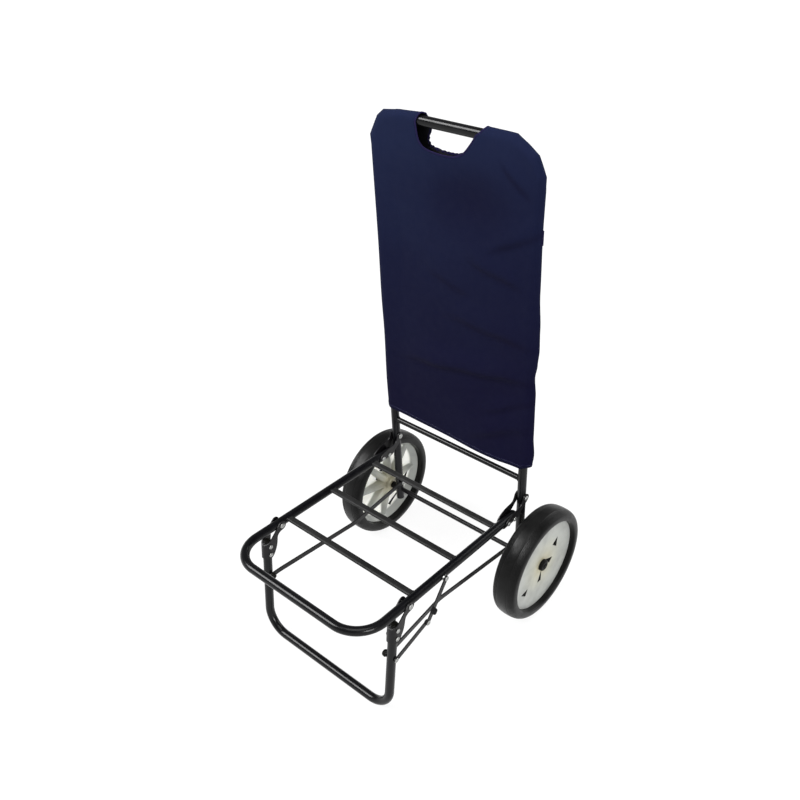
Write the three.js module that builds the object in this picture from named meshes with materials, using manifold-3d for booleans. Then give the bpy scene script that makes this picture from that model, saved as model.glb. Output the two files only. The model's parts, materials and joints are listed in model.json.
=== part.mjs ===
// Folding shopping trolley: a leaning back frame in a cloth cover, two wheels on one axle, and a
// load platform that folds up against the frame while its leg loop swings in under it.
// Millimetres. X runs along the axle, -Y is the platform's side, +Z is up, and the floor is Z = 0.
import * as THREE from 'three';
import { mergeVertices } from 'three/addons/utils/BufferGeometryUtils.js';
import Module from 'manifold-3d';

const wasm = await Module();
wasm.setup();

// ---------------------------------------------------------------- driving dimensions
const GAP = 0.3;                 // clearance between pieces that touch
const FRAME_HALF = 168;          // middle plane to the centre of each side tube
const TUBE_R = 9;                // main tubes, outside radius
const WALL = 1.2;
const LEAN = 3.457 * Math.PI / 180;   // uprights lean forward

const WHEEL_R = 127;
const WHEEL_X = 214;             // middle plane to the middle of each wheel
const TYRE_HALF = 27;
const HUB_R = 103.5;
const AXLE_R = 5;
const AXLE_Y = 181.5;            // axle behind the middle of the trolley's length

const HANDLE_Z = 975.6;          // centre of the handle bar
const UPRIGHT_FOOT_Z = 102;
const BACK_CORNER_R = 58;
const BACK_BAR_Z = 327.4;
const BACK_BAR_R = 6;
const COVER_HEM_Z = 361;

const RAIL_Z = 252;              // centre of the platform tube
const RAIL_REAR_Y = -33;
const PLATFORM_FRONT_Y = -481;
const PLATFORM_CORNER_R = 62;
const CROSSBAR_Y = [-92.2, -217, -338.5];
const CROSSBAR_WIDE = 15;
const CROSSBAR_TALL = 7;
const CROSSBAR_LIFT = 2;         // crossbar centre above the tube's centre

const LEG_FOOT_Y = -414.5;       // leg centre line where it meets the floor
const LEG_TILT = -4.756 * Math.PI / 180;
const LEG_TOP = 228;             // along the leg from the floor
const LEG_CORNER_R = 48;

const SHEET = 2;                 // hinge bracket steel
const RIVET_STEP = 19.5;         // between the two rivets of a bracket
const PIVOT_U = 55.5;            // bracket pivot, along the tube from the first rivet
const PIVOT_V = 31.5;            // bracket pivot, square to the tube
const LINK_REAR_Z = 150;
const LINK_FRONT_S = 147.5;      // link rivet along the leg from the floor
const LINK_BOW = 15;             // how far a link bends in
const LINK_BEND = 170;           // its bend, from the nearer end; the two links are turned end for end
const STAY_TOP_Y = -265.5;
const STAY_HALF = 91;            // pivot to pivot, each half of the stay

// ---------------------------------------------------------------- materials
function paint(color, roughness, metalness) {
  return new THREE.MeshStandardMaterial({ color, roughness, metalness });
}

const BLACK_PAINT = paint(0x1d1d1f, 0.35, 0.4);
const BLACK_STEEL = paint(0x232325, 0.45, 0.6);
const ZINC = paint(0xb9bbb8, 0.4, 0.9);
const BLACK_PLASTIC = paint(0x151515, 0.6, 0);
const IVORY_PLASTIC = paint(0xc3c8bd, 0.5, 0);
const TYRE_RUBBER = paint(0x1b1b1c, 0.75, 0);
const NAVY_CLOTH = paint(0x1a1e3a, 0.9, 0);

// ---------------------------------------------------------------- solid helpers
const TURN = 2 * Math.PI;
const Z_TO_X = new THREE.Matrix4().makeBasis(
  new THREE.Vector3(0, 1, 0), new THREE.Vector3(0, 0, 1), new THREE.Vector3(1, 0, 0));
const Y_TO_X = new THREE.Matrix4().makeRotationZ(-Math.PI / 2);

function solidOf(geometry) {
  const plain = geometry.clone();
  plain.deleteAttribute('normal');
  plain.deleteAttribute('uv');
  const merged = mergeVertices(plain, 1e-4);
  const index = merged.index.array;
  const keep = [];
  for (let i = 0; i < index.length; i += 3) {
    const [a, b, c] = [index[i], index[i + 1], index[i + 2]];
    if (a !== b && b !== c && c !== a) keep.push(a, b, c);
  }
  return new wasm.Manifold(new wasm.Mesh({
    numProp: 3,
    vertProperties: new Float32Array(merged.attributes.position.array),
    triVerts: new Uint32Array(keep),
  }));
}

function geometryOf(solid) {
  const mesh = solid.getMesh();
  const geometry = new THREE.BufferGeometry();
  geometry.setAttribute('position', new THREE.BufferAttribute(mesh.vertProperties, 3));
  geometry.setIndex(new THREE.BufferAttribute(mesh.triVerts, 1));
  geometry.computeVertexNormals();
  return geometry;
}

function circlePoints(radius, sides, x = 0, y = 0) {
  return Array.from({ length: sides }, (_, i) => new THREE.Vector2(
    x + radius * Math.cos(TURN * i / sides), y + radius * Math.sin(TURN * i / sides)));
}

// A flat outline given thickness along Z, centred on Z = 0.
function plate(points, thickness) {
  return new THREE.ExtrudeGeometry(new THREE.Shape(points), { depth: thickness, bevelEnabled: false })
    .translate(0, 0, -thickness / 2);
}

// A round rod along X, from x0 to x1, through the point (y, z).
function rodX(radius, x0, x1, y = 0, z = 0, sides = 16) {
  return plate(circlePoints(radius, sides), x1 - x0).applyMatrix4(Z_TO_X)
    .translate((x0 + x1) / 2, y, z);
}

// A turned piece: profile points are [along X, radius].
function turned(profile, sides = 12) {
  const points = profile.map(([x, r]) => new THREE.Vector2(r, x));
  if (THREE.ShapeUtils.area(points) < 0) points.reverse();
  return new THREE.LatheGeometry(points, sides).applyMatrix4(Y_TO_X);
}

// A tube's centre line: straight between stations, with the true direction kept at each station.
class Route extends THREE.Curve {
  constructor(stations) {
    super();
    this.stations = stations;
  }
  at(u) {
    return this.stations[Math.round(u * (this.stations.length - 1))];
  }
  getPointAt(u) {
    return this.at(u).point.clone();
  }
  getTangentAt(u) {
    return this.at(u).direction.clone();
  }
  getPoint(u) {
    return this.getPointAt(u);
  }
}

// Stations of a U in the XY plane: legs at x = -half and +half from y = start, closed across y = end.
function uStations(half, start, end, cornerR, bends = 4) {
  const way = Math.sign(end - start);
  const stations = [{ point: [-half, start], direction: [0, way] }];
  for (const side of [-1, 1]) {
    for (let i = 0; i <= bends; i += 1) {
      const a = (Math.PI / 2) * (i / bends);
      const [along, across] = side < 0 ? [Math.sin(a), Math.cos(a)] : [Math.cos(a), Math.sin(a)];
      stations.push({
        point: [side * (half - cornerR + cornerR * across), end - way * cornerR * (1 - along)],
        direction: side < 0 ? [along, way * across] : [along, -way * across],
      });
    }
  }
  stations.push({ point: [half, start], direction: [0, -way] });
  return stations.map(({ point, direction }) => ({
    point: new THREE.Vector3(point[0], point[1], 0),
    direction: new THREE.Vector3(direction[0], direction[1], 0).normalize(),
  }));
}

function sweep(stations, outline, hole) {
  const shape = new THREE.Shape(outline);
  if (hole) shape.holes = [new THREE.Path(hole)];
  return new THREE.ExtrudeGeometry(shape, {
    steps: stations.length - 1,
    extrudePath: new Route(stations),
  });
}

const bentTube = (stations) => sweep(stations, circlePoints(TUBE_R, 16), circlePoints(TUBE_R - WALL, 12));

// ---------------------------------------------------------------- placing
const trolley = new THREE.Group();
trolley.position.y = AXLE_Y;
const backFrame = new THREE.Group();     // X across, Y up along the uprights, Z to the front
backFrame.position.z = WHEEL_R;
backFrame.rotation.x = Math.PI / 2 + LEAN;
const legFrame = new THREE.Group();      // X across, Y up along the legs, Z to the front
legFrame.position.y = LEG_FOOT_Y;
legFrame.rotation.x = Math.PI / 2 + LEG_TILT;
trolley.add(backFrame, legFrame);

function addTo(group, name, material, geometry, x = 0, y = 0, z = 0) {
  const mesh = new THREE.Mesh(geometry, material);
  mesh.name = name;
  mesh.position.set(x, y, z);
  group.add(mesh);
  return mesh;
}

const along = (z) => (z - WHEEL_R) / Math.cos(LEAN);        // height to place along an upright
const SIDES = [['left', -1], ['right', 1]];

// The side view (Y, Z) of a point on the back frame and on the leg.
const onUpright = (s) => new THREE.Vector2(-s * Math.sin(LEAN), WHEEL_R + s * Math.cos(LEAN));
const onLeg = (s) => new THREE.Vector2(LEG_FOOT_Y - s * Math.sin(LEG_TILT), s * Math.cos(LEG_TILT));

// ---------------------------------------------------------------- pivots
const FOLD_S = along(RAIL_Z + PIVOT_V);
const foldPivot = onUpright(FOLD_S);                        // platform on the uprights
const rearRivetY = foldPivot.x - PIVOT_U;
const legUp = onLeg(1).sub(onLeg(0));
const legBack = new THREE.Vector2(legUp.y, -legUp.x);
const LEG_RIVET_S = (RAIL_Z - PIVOT_V * legBack.y) / legUp.y - PIVOT_U;
const legPivot = onLeg(LEG_RIVET_S + PIVOT_U).addScaledVector(legBack, PIVOT_V);
const LINK_REAR_S = along(LINK_REAR_Z);
const linkRear = onUpright(LINK_REAR_S);
const linkFront = onLeg(LINK_FRONT_S);
const stayTop = new THREE.Vector2(STAY_TOP_Y, RAIL_Z);
const chord = stayTop.clone().sub(linkFront);
const sag = Math.sqrt(STAY_HALF ** 2 - chord.lengthSq() / 4);
const stayMid = linkFront.clone().addScaledVector(chord, 0.5)
  .addScaledVector(new THREE.Vector2(chord.y, -chord.x).normalize(), sag);

// ---------------------------------------------------------------- rivets
const HEAD_R = 4.6;
const LINK_HEAD_R = 5.2;
const STAY_HEAD_R = 5;
const PIVOT_HEAD_R = 5.6;
const HEAD_TALL = 2.4;

// A rivet with two domed heads, and a shank of the given grip from x = -grip / 2 to grip / 2.
function rivet(shankR, grip, headR = HEAD_R) {
  const end = grip / 2;
  return turned([
    [-end - HEAD_TALL, 0], [-end - HEAD_TALL * 0.75, headR * 0.6], [-end, headR], [-end, shankR],
    [end, shankR], [end, headR], [end + HEAD_TALL * 0.75, headR * 0.6], [end + HEAD_TALL, 0],
  ], 10);
}

// A half rivet: a domed head that stands on x = 0 towards +X, with its shank reaching back to x = -depth.
function stud(shankR, depth, headR = HEAD_R) {
  return turned([
    [-depth, 0], [-depth, shankR], [0, shankR], [0, headR],
    [HEAD_TALL * 0.75, headR * 0.6], [HEAD_TALL, 0],
  ], 10);
}

const SMALL_SHANK = 2.4;
const PIVOT_SHANK = 3;
const HOLE_PLAY = 0.35;

const DRILL_REACH = FRAME_HALF * 1.3;    // past the outside of both side tubes

// Holes along X at each (y, z), through both side tubes unless a start is given.
function drill(solid, shankR, places, from = -DRILL_REACH) {
  let result = solid;
  for (const [y, z] of places) {
    result = result.subtract(solidOf(rodX(shankR + HOLE_PLAY, from, DRILL_REACH, y, z, 10)));
  }
  return result;
}

// ---------------------------------------------------------------- back frame
function buildBackFrame() {
  const top = along(HANDLE_Z);
  let tube = solidOf(bentTube(uStations(FRAME_HALF, along(UPRIGHT_FOOT_Z), top, BACK_CORNER_R)));
  tube = drill(tube, AXLE_R, [[0, 0]]);
  tube = drill(tube, PIVOT_SHANK, [[FOLD_S, 0]]);
  tube = drill(tube, SMALL_SHANK, [[LINK_REAR_S, 0]]);
  addTo(backFrame, 'back_frame', BLACK_PAINT, geometryOf(tube));

  // The lower bar is cut round the uprights that it is welded to.
  let bar = solidOf(plate(circlePoints(BACK_BAR_R, 16), 2 * FRAME_HALF).applyMatrix4(Z_TO_X));
  for (const [, side] of SIDES) {
    const upright = plate(circlePoints(TUBE_R + GAP, 16), 60).rotateX(Math.PI / 2);
    bar = bar.subtract(solidOf(upright.translate(side * FRAME_HALF, 0, 0)));
  }
  bar = bar.decompose().sort((a, b) => b.volume() - a.volume())[0];
  addTo(backFrame, 'back_crossbar', BLACK_PAINT, geometryOf(bar), 0, along(BACK_BAR_Z));

  for (const [name, side] of SIDES) {
    addTo(backFrame, `upright_plug_${name}`, BLACK_PLASTIC, endPlug(),
      side * FRAME_HALF, along(UPRIGHT_FOOT_Z) - GAP);
  }
}

// A push-in plug for a tube end: it points up its tube along +Y, its shoulder at y = 0.
const PLUG_HEAD = 3.2;
const PLUG_STEM = 4.5;

function endPlug() {
  const shoulder = TUBE_R - 0.1;
  const stem = TUBE_R - WALL - GAP;
  return new THREE.LatheGeometry([
    new THREE.Vector2(0, -PLUG_HEAD), new THREE.Vector2(TUBE_R * 0.7, -PLUG_HEAD * 0.85),
    new THREE.Vector2(shoulder, -PLUG_HEAD * 0.3), new THREE.Vector2(shoulder, 0),
    new THREE.Vector2(stem, 0), new THREE.Vector2(stem, PLUG_STEM), new THREE.Vector2(0, PLUG_STEM),
  ], 16);
}

// ---------------------------------------------------------------- cloth cover
const COVER_CLOTH = 1.4;
const COVER_PLAY = 0.8;          // cloth to tube
const NECK_HALF = 73;
const NECK_DEEP = 52;            // below the top edge

// Front outline of the sleeve, a distance 'out' outside the tube, open or closed at the hem.
function coverOutline(out, hem) {
  const half = FRAME_HALF + TUBE_R + out;
  const top = along(HANDLE_Z) + TUBE_R + out;
  const corner = BACK_CORNER_R + TUBE_R + out;
  const shape = new THREE.Shape();
  shape.moveTo(-half, hem);
  shape.lineTo(half, hem);
  shape.lineTo(half, top - corner);
  shape.absarc(half - corner, top - corner, corner, 0, Math.PI / 2, false);
  shape.lineTo(-half + corner, top);
  shape.absarc(-half + corner, top - corner, corner, Math.PI / 2, Math.PI, false);
  return shape.getPoints(5);
}

function neckOutline() {
  const top = along(HANDLE_Z) + TUBE_R + 8;
  const floor = along(HANDLE_Z) + TUBE_R + COVER_PLAY + COVER_CLOTH - NECK_DEEP;
  const shape = new THREE.Shape();
  shape.moveTo(-NECK_HALF, top);
  shape.bezierCurveTo(-NECK_HALF + 6, floor + 12, -NECK_HALF + 18, floor, 0, floor);
  shape.bezierCurveTo(NECK_HALF - 34, floor, NECK_HALF - 26, floor + 22, NECK_HALF, top);
  return shape.getPoints(7);
}

function buildCover() {
  const hem = along(COVER_HEM_Z);
  const inner = TUBE_R + COVER_PLAY;
  const outer = inner + COVER_CLOTH;
  const shell = solidOf(plate(coverOutline(COVER_PLAY + COVER_CLOTH, hem), 2 * outer))
    .subtract(solidOf(plate(coverOutline(COVER_PLAY, hem - 20), 2 * inner)))
    .subtract(solidOf(plate(neckOutline(), 4 * outer)));
  addTo(backFrame, 'cover', NAVY_CLOTH, geometryOf(shell));
}

// ---------------------------------------------------------------- wheels and axle
const TYRE_STEPS = 32;
const BOSS_R = 15;
const DISC_X = 15;               // outer face of the wheel disc, from the wheel's middle
const AXLE_END = WHEEL_X + DISC_X + 5;
const SPACER_R = 8;
const CAP_R = 13;
const CAP_TALL = 3;              // past the axle's end

// The tyre stands out past the disc like a low wall, and its shoulders are round.
function tyreGeometry() {
  const lip = HUB_R + GAP;
  const outside = [[DISC_X, lip], [TYRE_HALF - 1.5, 105], [TYRE_HALF, 109], [25.5, 119.5], [18, 125]];
  const profile = [...outside, [0, WHEEL_R], ...outside.slice().reverse().map(([x, r]) => [-x, r])];
  profile.push(profile[0]);
  return turned(profile, TYRE_STEPS);
}

// One hub, its outer face towards +X: a rim, a flat disc, a boss, and a star of ribs behind the disc.
const HUB_ARMS = 8;
const HUB_BACK = -12;            // inner edge of the rim
const RIM_WALL = 2.5;
const RIM_SLOPE = 15;            // how far the rim's wall runs in towards the boss, down to the disc
const DISC_THICK = 7;
const BOSS_BACK = -24;
const BOSS_FACE = DISC_X - 2;
const ARM_DEEP = 20;
const ARM_ROOT_HALF = 8;
const ARM_TIP_HALF = 5;

function hubGeometry() {
  const discBack = DISC_X - DISC_THICK;
  let hub = solidOf(turned([
    [BOSS_FACE, AXLE_R + HOLE_PLAY], [BOSS_FACE, BOSS_R], [DISC_X, BOSS_R + 20], [DISC_X, HUB_R],
    [HUB_BACK, HUB_R], [HUB_BACK, HUB_R - RIM_WALL], [discBack + 0.5, HUB_R - RIM_SLOPE], [discBack, BOSS_R + 3],
    [BOSS_BACK, BOSS_R], [BOSS_BACK, AXLE_R + HOLE_PLAY], [BOSS_FACE, AXLE_R + HOLE_PLAY],
  ], TYRE_STEPS));
  const [root, tip] = [BOSS_R - 2, HUB_R - 4];
  const arm = plate([
    new THREE.Vector2(root, -ARM_ROOT_HALF), new THREE.Vector2(tip, -ARM_TIP_HALF),
    new THREE.Vector2(tip, ARM_TIP_HALF), new THREE.Vector2(root, ARM_ROOT_HALF),
  ], ARM_DEEP).applyMatrix4(Z_TO_X).translate(DISC_X - 5 - ARM_DEEP / 2, 0, 0);
  const slot = plate([
    new THREE.Vector2(42, 17), new THREE.Vector2(72, 19), new THREE.Vector2(68, 34),
  ], 4 * DISC_X).applyMatrix4(Z_TO_X);
  for (let i = 0; i < HUB_ARMS; i += 1) {
    hub = hub.add(solidOf(arm.clone().rotateX(TURN * i / HUB_ARMS)));
  }
  for (let i = 0; i < HUB_ARMS; i += 2) {
    hub = hub.subtract(solidOf(slot.clone().rotateX(TURN * i / HUB_ARMS)));
  }
  return geometryOf(hub);
}

function buildWheels() {
  const hub = hubGeometry();
  const tyre = tyreGeometry();
  for (const [name, side] of SIDES) {
    const turn = side > 0 ? 0 : Math.PI;
    addTo(trolley, `tyre_${name}`, TYRE_RUBBER, tyre, side * WHEEL_X, 0, WHEEL_R).rotation.z = turn;
    addTo(trolley, `hub_${name}`, IVORY_PLASTIC, hub, side * WHEEL_X, 0, WHEEL_R).rotation.z = turn;

    // A short tube keeps the wheel off the upright, and a push-on cap holds it on the axle.
    const inside = FRAME_HALF + TUBE_R + GAP;
    const outside = WHEEL_X + BOSS_BACK - GAP;
    const spacer = turned([
      [outside, AXLE_R + HOLE_PLAY], [outside, SPACER_R], [inside, SPACER_R], [inside, AXLE_R + HOLE_PLAY],
      [outside, AXLE_R + HOLE_PLAY],
    ]);
    addTo(trolley, `wheel_spacer_${name}`, BLACK_PLASTIC, spacer, 0, 0, WHEEL_R).rotation.z = turn;
    const capBack = WHEEL_X + BOSS_FACE + GAP;
    const cap = turned([
      [AXLE_END + CAP_TALL, 0], [AXLE_END + CAP_TALL * 0.8, CAP_R - 3.5], [AXLE_END, CAP_R - 0.5],
      [capBack, CAP_R], [capBack, AXLE_R + GAP],
      [AXLE_END + GAP, AXLE_R + GAP], [AXLE_END + GAP, 0],
    ]);
    addTo(trolley, `axle_cap_${name}`, BLACK_PLASTIC, cap, 0, 0, WHEEL_R).rotation.z = turn;
  }
  addTo(trolley, 'axle', BLACK_STEEL, rodX(AXLE_R, -AXLE_END, AXLE_END, 0, WHEEL_R));
}

// ---------------------------------------------------------------- hinge brackets
const CHANNEL_IN = TUBE_R + GAP;
const CHANNEL_OUT = CHANNEL_IN + SHEET;
const LOBE_R = 9.5;              // round the pivot

// A pressed channel in (u, v, w): u along its tube from the first rivet, v towards the pivot, w across.
function bracketGeometry() {
  const reach = 60;                           // past the pivot's lobe
  const side = new THREE.Shape();
  side.moveTo(-11, -6);
  side.absarc(-5, -7, 6, Math.PI, Math.PI * 1.5, false);
  side.lineTo(22, -13);
  side.lineTo(29, -3.5);
  side.absarc(PIVOT_U, PIVOT_V, LOBE_R, -Math.PI * 0.283, Math.PI * 0.93, false);
  side.quadraticCurveTo(44, 19, 31, 18.5);
  side.quadraticCurveTo(14, 18, 2, 11.5);
  side.quadraticCurveTo(-11, 6, -11, -6);
  const outline = solidOf(plate(side.getPoints(4), 3 * TUBE_R));

  const channel = new THREE.Shape();          // x is v, y is w
  channel.moveTo(reach, CHANNEL_OUT);
  channel.absarc(0, 0, CHANNEL_OUT, Math.PI / 2, Math.PI * 1.5, false);
  channel.lineTo(reach, -CHANNEL_OUT);
  channel.lineTo(reach, -CHANNEL_IN);
  channel.absarc(0, 0, CHANNEL_IN, Math.PI * 1.5, Math.PI / 2, true);
  channel.lineTo(reach, CHANNEL_IN);
  const section = plate(channel.getPoints(4), 3 * reach).applyMatrix4(Z_TO_X);
  let bracket = outline.intersect(solidOf(section));
  const holes = [[0, 0, SMALL_SHANK], [RIVET_STEP, 0, SMALL_SHANK], [PIVOT_U, PIVOT_V, PIVOT_SHANK]];
  for (const [u, v, r] of holes) {
    bracket = bracket.subtract(solidOf(plate(circlePoints(r + HOLE_PLAY, 10, u, v), 3 * TUBE_R)));
  }
  return geometryOf(bracket);
}

// Stand a piece made in (u, v, w) on the side view: u points along 'up', v along 'out'.
function standOn(mesh, up, out) {
  const u = new THREE.Vector3(0, up.x, up.y);
  const v = new THREE.Vector3(0, out.x, out.y);
  mesh.quaternion.setFromRotationMatrix(new THREE.Matrix4().makeBasis(u, v, u.clone().cross(v)));
  return mesh;
}

const RIVET_GRIP = 2 * (CHANNEL_OUT + GAP);

function buildBrackets() {
  const bracket = bracketGeometry();
  for (const [name, side] of SIDES) {
    const x = side * FRAME_HALF;
    const rear = addTo(trolley, `rear_bracket_${name}`, BLACK_STEEL, bracket, x, rearRivetY, RAIL_Z);
    standOn(rear, new THREE.Vector2(1, 0), new THREE.Vector2(0, 1));
    const start = onLeg(LEG_RIVET_S);
    const front = addTo(trolley, `front_bracket_${name}`, BLACK_STEEL, bracket, x, start.x, start.y);
    standOn(front, legUp, legBack);
    for (const [i, step] of [0, RIVET_STEP].entries()) {
      const place = onLeg(LEG_RIVET_S + step);
      const small = rivet(SMALL_SHANK, RIVET_GRIP);
      addTo(trolley, `rear_rivet_${name}_${i + 1}`, ZINC, small, x, rearRivetY + step, RAIL_Z);
      addTo(trolley, `front_rivet_${name}_${i + 1}`, ZINC, small, x, place.x, place.y);
    }
    const pin = rivet(PIVOT_SHANK, RIVET_GRIP, PIVOT_HEAD_R);
    addTo(trolley, `fold_pin_${name}`, ZINC, pin, x, foldPivot.x, foldPivot.y);
    addTo(trolley, `leg_pin_${name}`, ZINC, pin, x, legPivot.x, legPivot.y);
  }
}

// ---------------------------------------------------------------- platform
function buildPlatform() {
  const rails = bentTube(uStations(FRAME_HALF, RAIL_REAR_Y, PLATFORM_FRONT_Y, PLATFORM_CORNER_R));
  let tube = solidOf(rails);
  tube = drill(tube, SMALL_SHANK, [[rearRivetY, 0], [rearRivetY + RIVET_STEP, 0]]);
  tube = drill(tube, PIVOT_SHANK, [[legPivot.x, 0]]);
  tube = drill(tube, SMALL_SHANK, [[STAY_TOP_Y, 0]], 0);
  addTo(trolley, 'platform_frame', BLACK_PAINT, geometryOf(tube), 0, 0, RAIL_Z);

  const bar = crossbarGeometry();
  for (const [i, name] of ['rear', 'middle', 'front'].entries()) {
    addTo(trolley, `crossbar_${name}`, BLACK_PAINT, bar, 0, CROSSBAR_Y[i], RAIL_Z + CROSSBAR_LIFT);
  }
  for (const [name, side] of SIDES) {
    const plug = addTo(trolley, `rail_plug_${name}`, BLACK_PLASTIC, endPlug(),
      side * FRAME_HALF, RAIL_REAR_Y + GAP, RAIL_Z);
    plug.rotation.z = Math.PI;
  }
}

// A flat-oval bar across the platform, its ends cut round the rails.
function crossbarGeometry() {
  const r = CROSSBAR_TALL / 2;
  const flat = CROSSBAR_WIDE / 2 - r;
  const oval = new THREE.Shape();
  oval.moveTo(-flat, -r);
  oval.lineTo(flat, -r);
  oval.absarc(flat, 0, r, -Math.PI / 2, Math.PI / 2, false);
  oval.lineTo(-flat, r);
  oval.absarc(-flat, 0, r, Math.PI / 2, Math.PI * 1.5, false);
  let bar = solidOf(plate(oval.getPoints(3), 2 * FRAME_HALF).applyMatrix4(Z_TO_X));
  for (const [, side] of SIDES) {
    const rail = plate(circlePoints(TUBE_R + GAP, 16), 60).rotateX(Math.PI / 2);
    bar = bar.subtract(solidOf(rail.translate(side * FRAME_HALF, 0, -CROSSBAR_LIFT)));
  }
  return geometryOf(bar.decompose().sort((a, b) => b.volume() - a.volume())[0]);
}

// ---------------------------------------------------------------- leg loop
function buildLeg() {
  const foot = TUBE_R / Math.cos(LEG_TILT);
  let tube = solidOf(bentTube(uStations(FRAME_HALF, LEG_TOP, foot, LEG_CORNER_R)));
  tube = drill(tube, SMALL_SHANK, [[LEG_RIVET_S, 0], [LEG_RIVET_S + RIVET_STEP, 0], [LINK_FRONT_S, 0]]);
  addTo(legFrame, 'leg_loop', BLACK_PAINT, geometryOf(tube));
  for (const [name, side] of SIDES) {
    const plug = addTo(legFrame, `leg_plug_${name}`, BLACK_PLASTIC, endPlug(),
      side * FRAME_HALF, LEG_TOP + GAP);
    plug.rotation.z = Math.PI;
  }
}

// ---------------------------------------------------------------- folding links and stay
const LINK_WIDE = 11;
const LINK_THICK = 2.8;
const LINK_FLAT = 16;                           // straight end, from its pivot
const LINK_CREST = 6;                           // half of the flat at the bend
const LINK_FACE = FRAME_HALF - TUBE_R - 0.6;    // the face of a link that lies beside its tube

// The outline of a bar with round ends over the points (0, 0) and (length, 0).
function barOutline(length, wide) {
  const r = wide / 2;
  const shape = new THREE.Shape();
  shape.moveTo(0, -r);
  shape.lineTo(length, -r);
  shape.absarc(length, 0, r, -Math.PI / 2, Math.PI / 2, false);
  shape.lineTo(0, r);
  shape.absarc(0, 0, r, Math.PI / 2, Math.PI * 1.5, false);
  return shape.getPoints(4);
}

// A link in (u, v, w): u from the rear pivot to the front one, bowed towards -w between flat ends.
function linkGeometry(length, bend) {
  const line = [
    [-LINK_WIDE, 0], [LINK_FLAT, 0], [bend - LINK_CREST, -LINK_BOW],
    [bend + LINK_CREST, -LINK_BOW], [length - LINK_FLAT, 0], [length + LINK_WIDE, 0],
  ];
  const inside = line.map(([u, w]) => new THREE.Vector2(u, w - LINK_THICK));
  const outside = line.map(([u, w]) => new THREE.Vector2(u, w)).reverse();
  const bent = plate([...inside, ...outside], 3 * LINK_WIDE).rotateX(Math.PI / 2);
  let link = solidOf(bent).intersect(solidOf(plate(barOutline(length, LINK_WIDE), 80)));
  for (const u of [0, length]) {
    link = link.subtract(solidOf(plate(circlePoints(SMALL_SHANK + HOLE_PLAY, 10, u, 0), 80)));
  }
  return geometryOf(link);
}

function buildLinks() {
  const reach = linkFront.clone().sub(linkRear);
  const ahead = reach.clone().normalize();
  const length = reach.length();
  for (const [name, side] of SIDES) {
    const geometry = linkGeometry(length, side < 0 ? LINK_BEND : length - LINK_BEND);
    const link = addTo(trolley, `fold_link_${name}`, BLACK_STEEL, geometry,
      side * LINK_FACE, linkRear.x, linkRear.y);
    standOn(link, ahead, new THREE.Vector2(-ahead.y, ahead.x).multiplyScalar(side));    // w points outwards

    const inner = LINK_FACE - LINK_THICK - GAP;
    const across = FRAME_HALF + TUBE_R + GAP - inner;
    const pin = rivet(SMALL_SHANK, across, LINK_HEAD_R);
    addTo(trolley, `link_rear_pin_${name}`, ZINC, pin,
      side * (inner + across / 2), linkRear.x, linkRear.y);
    const front = addTo(trolley, `link_front_pin_${name}`, ZINC,
      stud(SMALL_SHANK, LINK_THICK + GAP, LINK_HEAD_R), side * inner, linkFront.x, linkFront.y);
    front.rotation.z = side > 0 ? Math.PI : 0;
  }
}

const STAY_WIDE = 11;
const STAY_THICK = 2.4;
const STAY_INNER = FRAME_HALF + TUBE_R + 0.6;           // lower half, beside the leg
const STAY_OUTER = STAY_INNER + STAY_THICK + GAP;       // upper half, over the lower one
const LOCK_TAB_AT = 27;                                 // from the middle joint
const LOCK_TAB_LONG = 13;
const LOCK_TAB_TALL = 12;
const WASHER_R = 6;

function stayPlate(holes) {
  let bar = solidOf(plate(barOutline(STAY_HALF, STAY_WIDE), STAY_THICK).translate(0, 0, STAY_THICK / 2));
  for (const u of holes) {
    bar = bar.subtract(solidOf(plate(circlePoints(SMALL_SHANK + HOLE_PLAY, 10, u, 0), 20)));
  }
  return bar;
}

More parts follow.
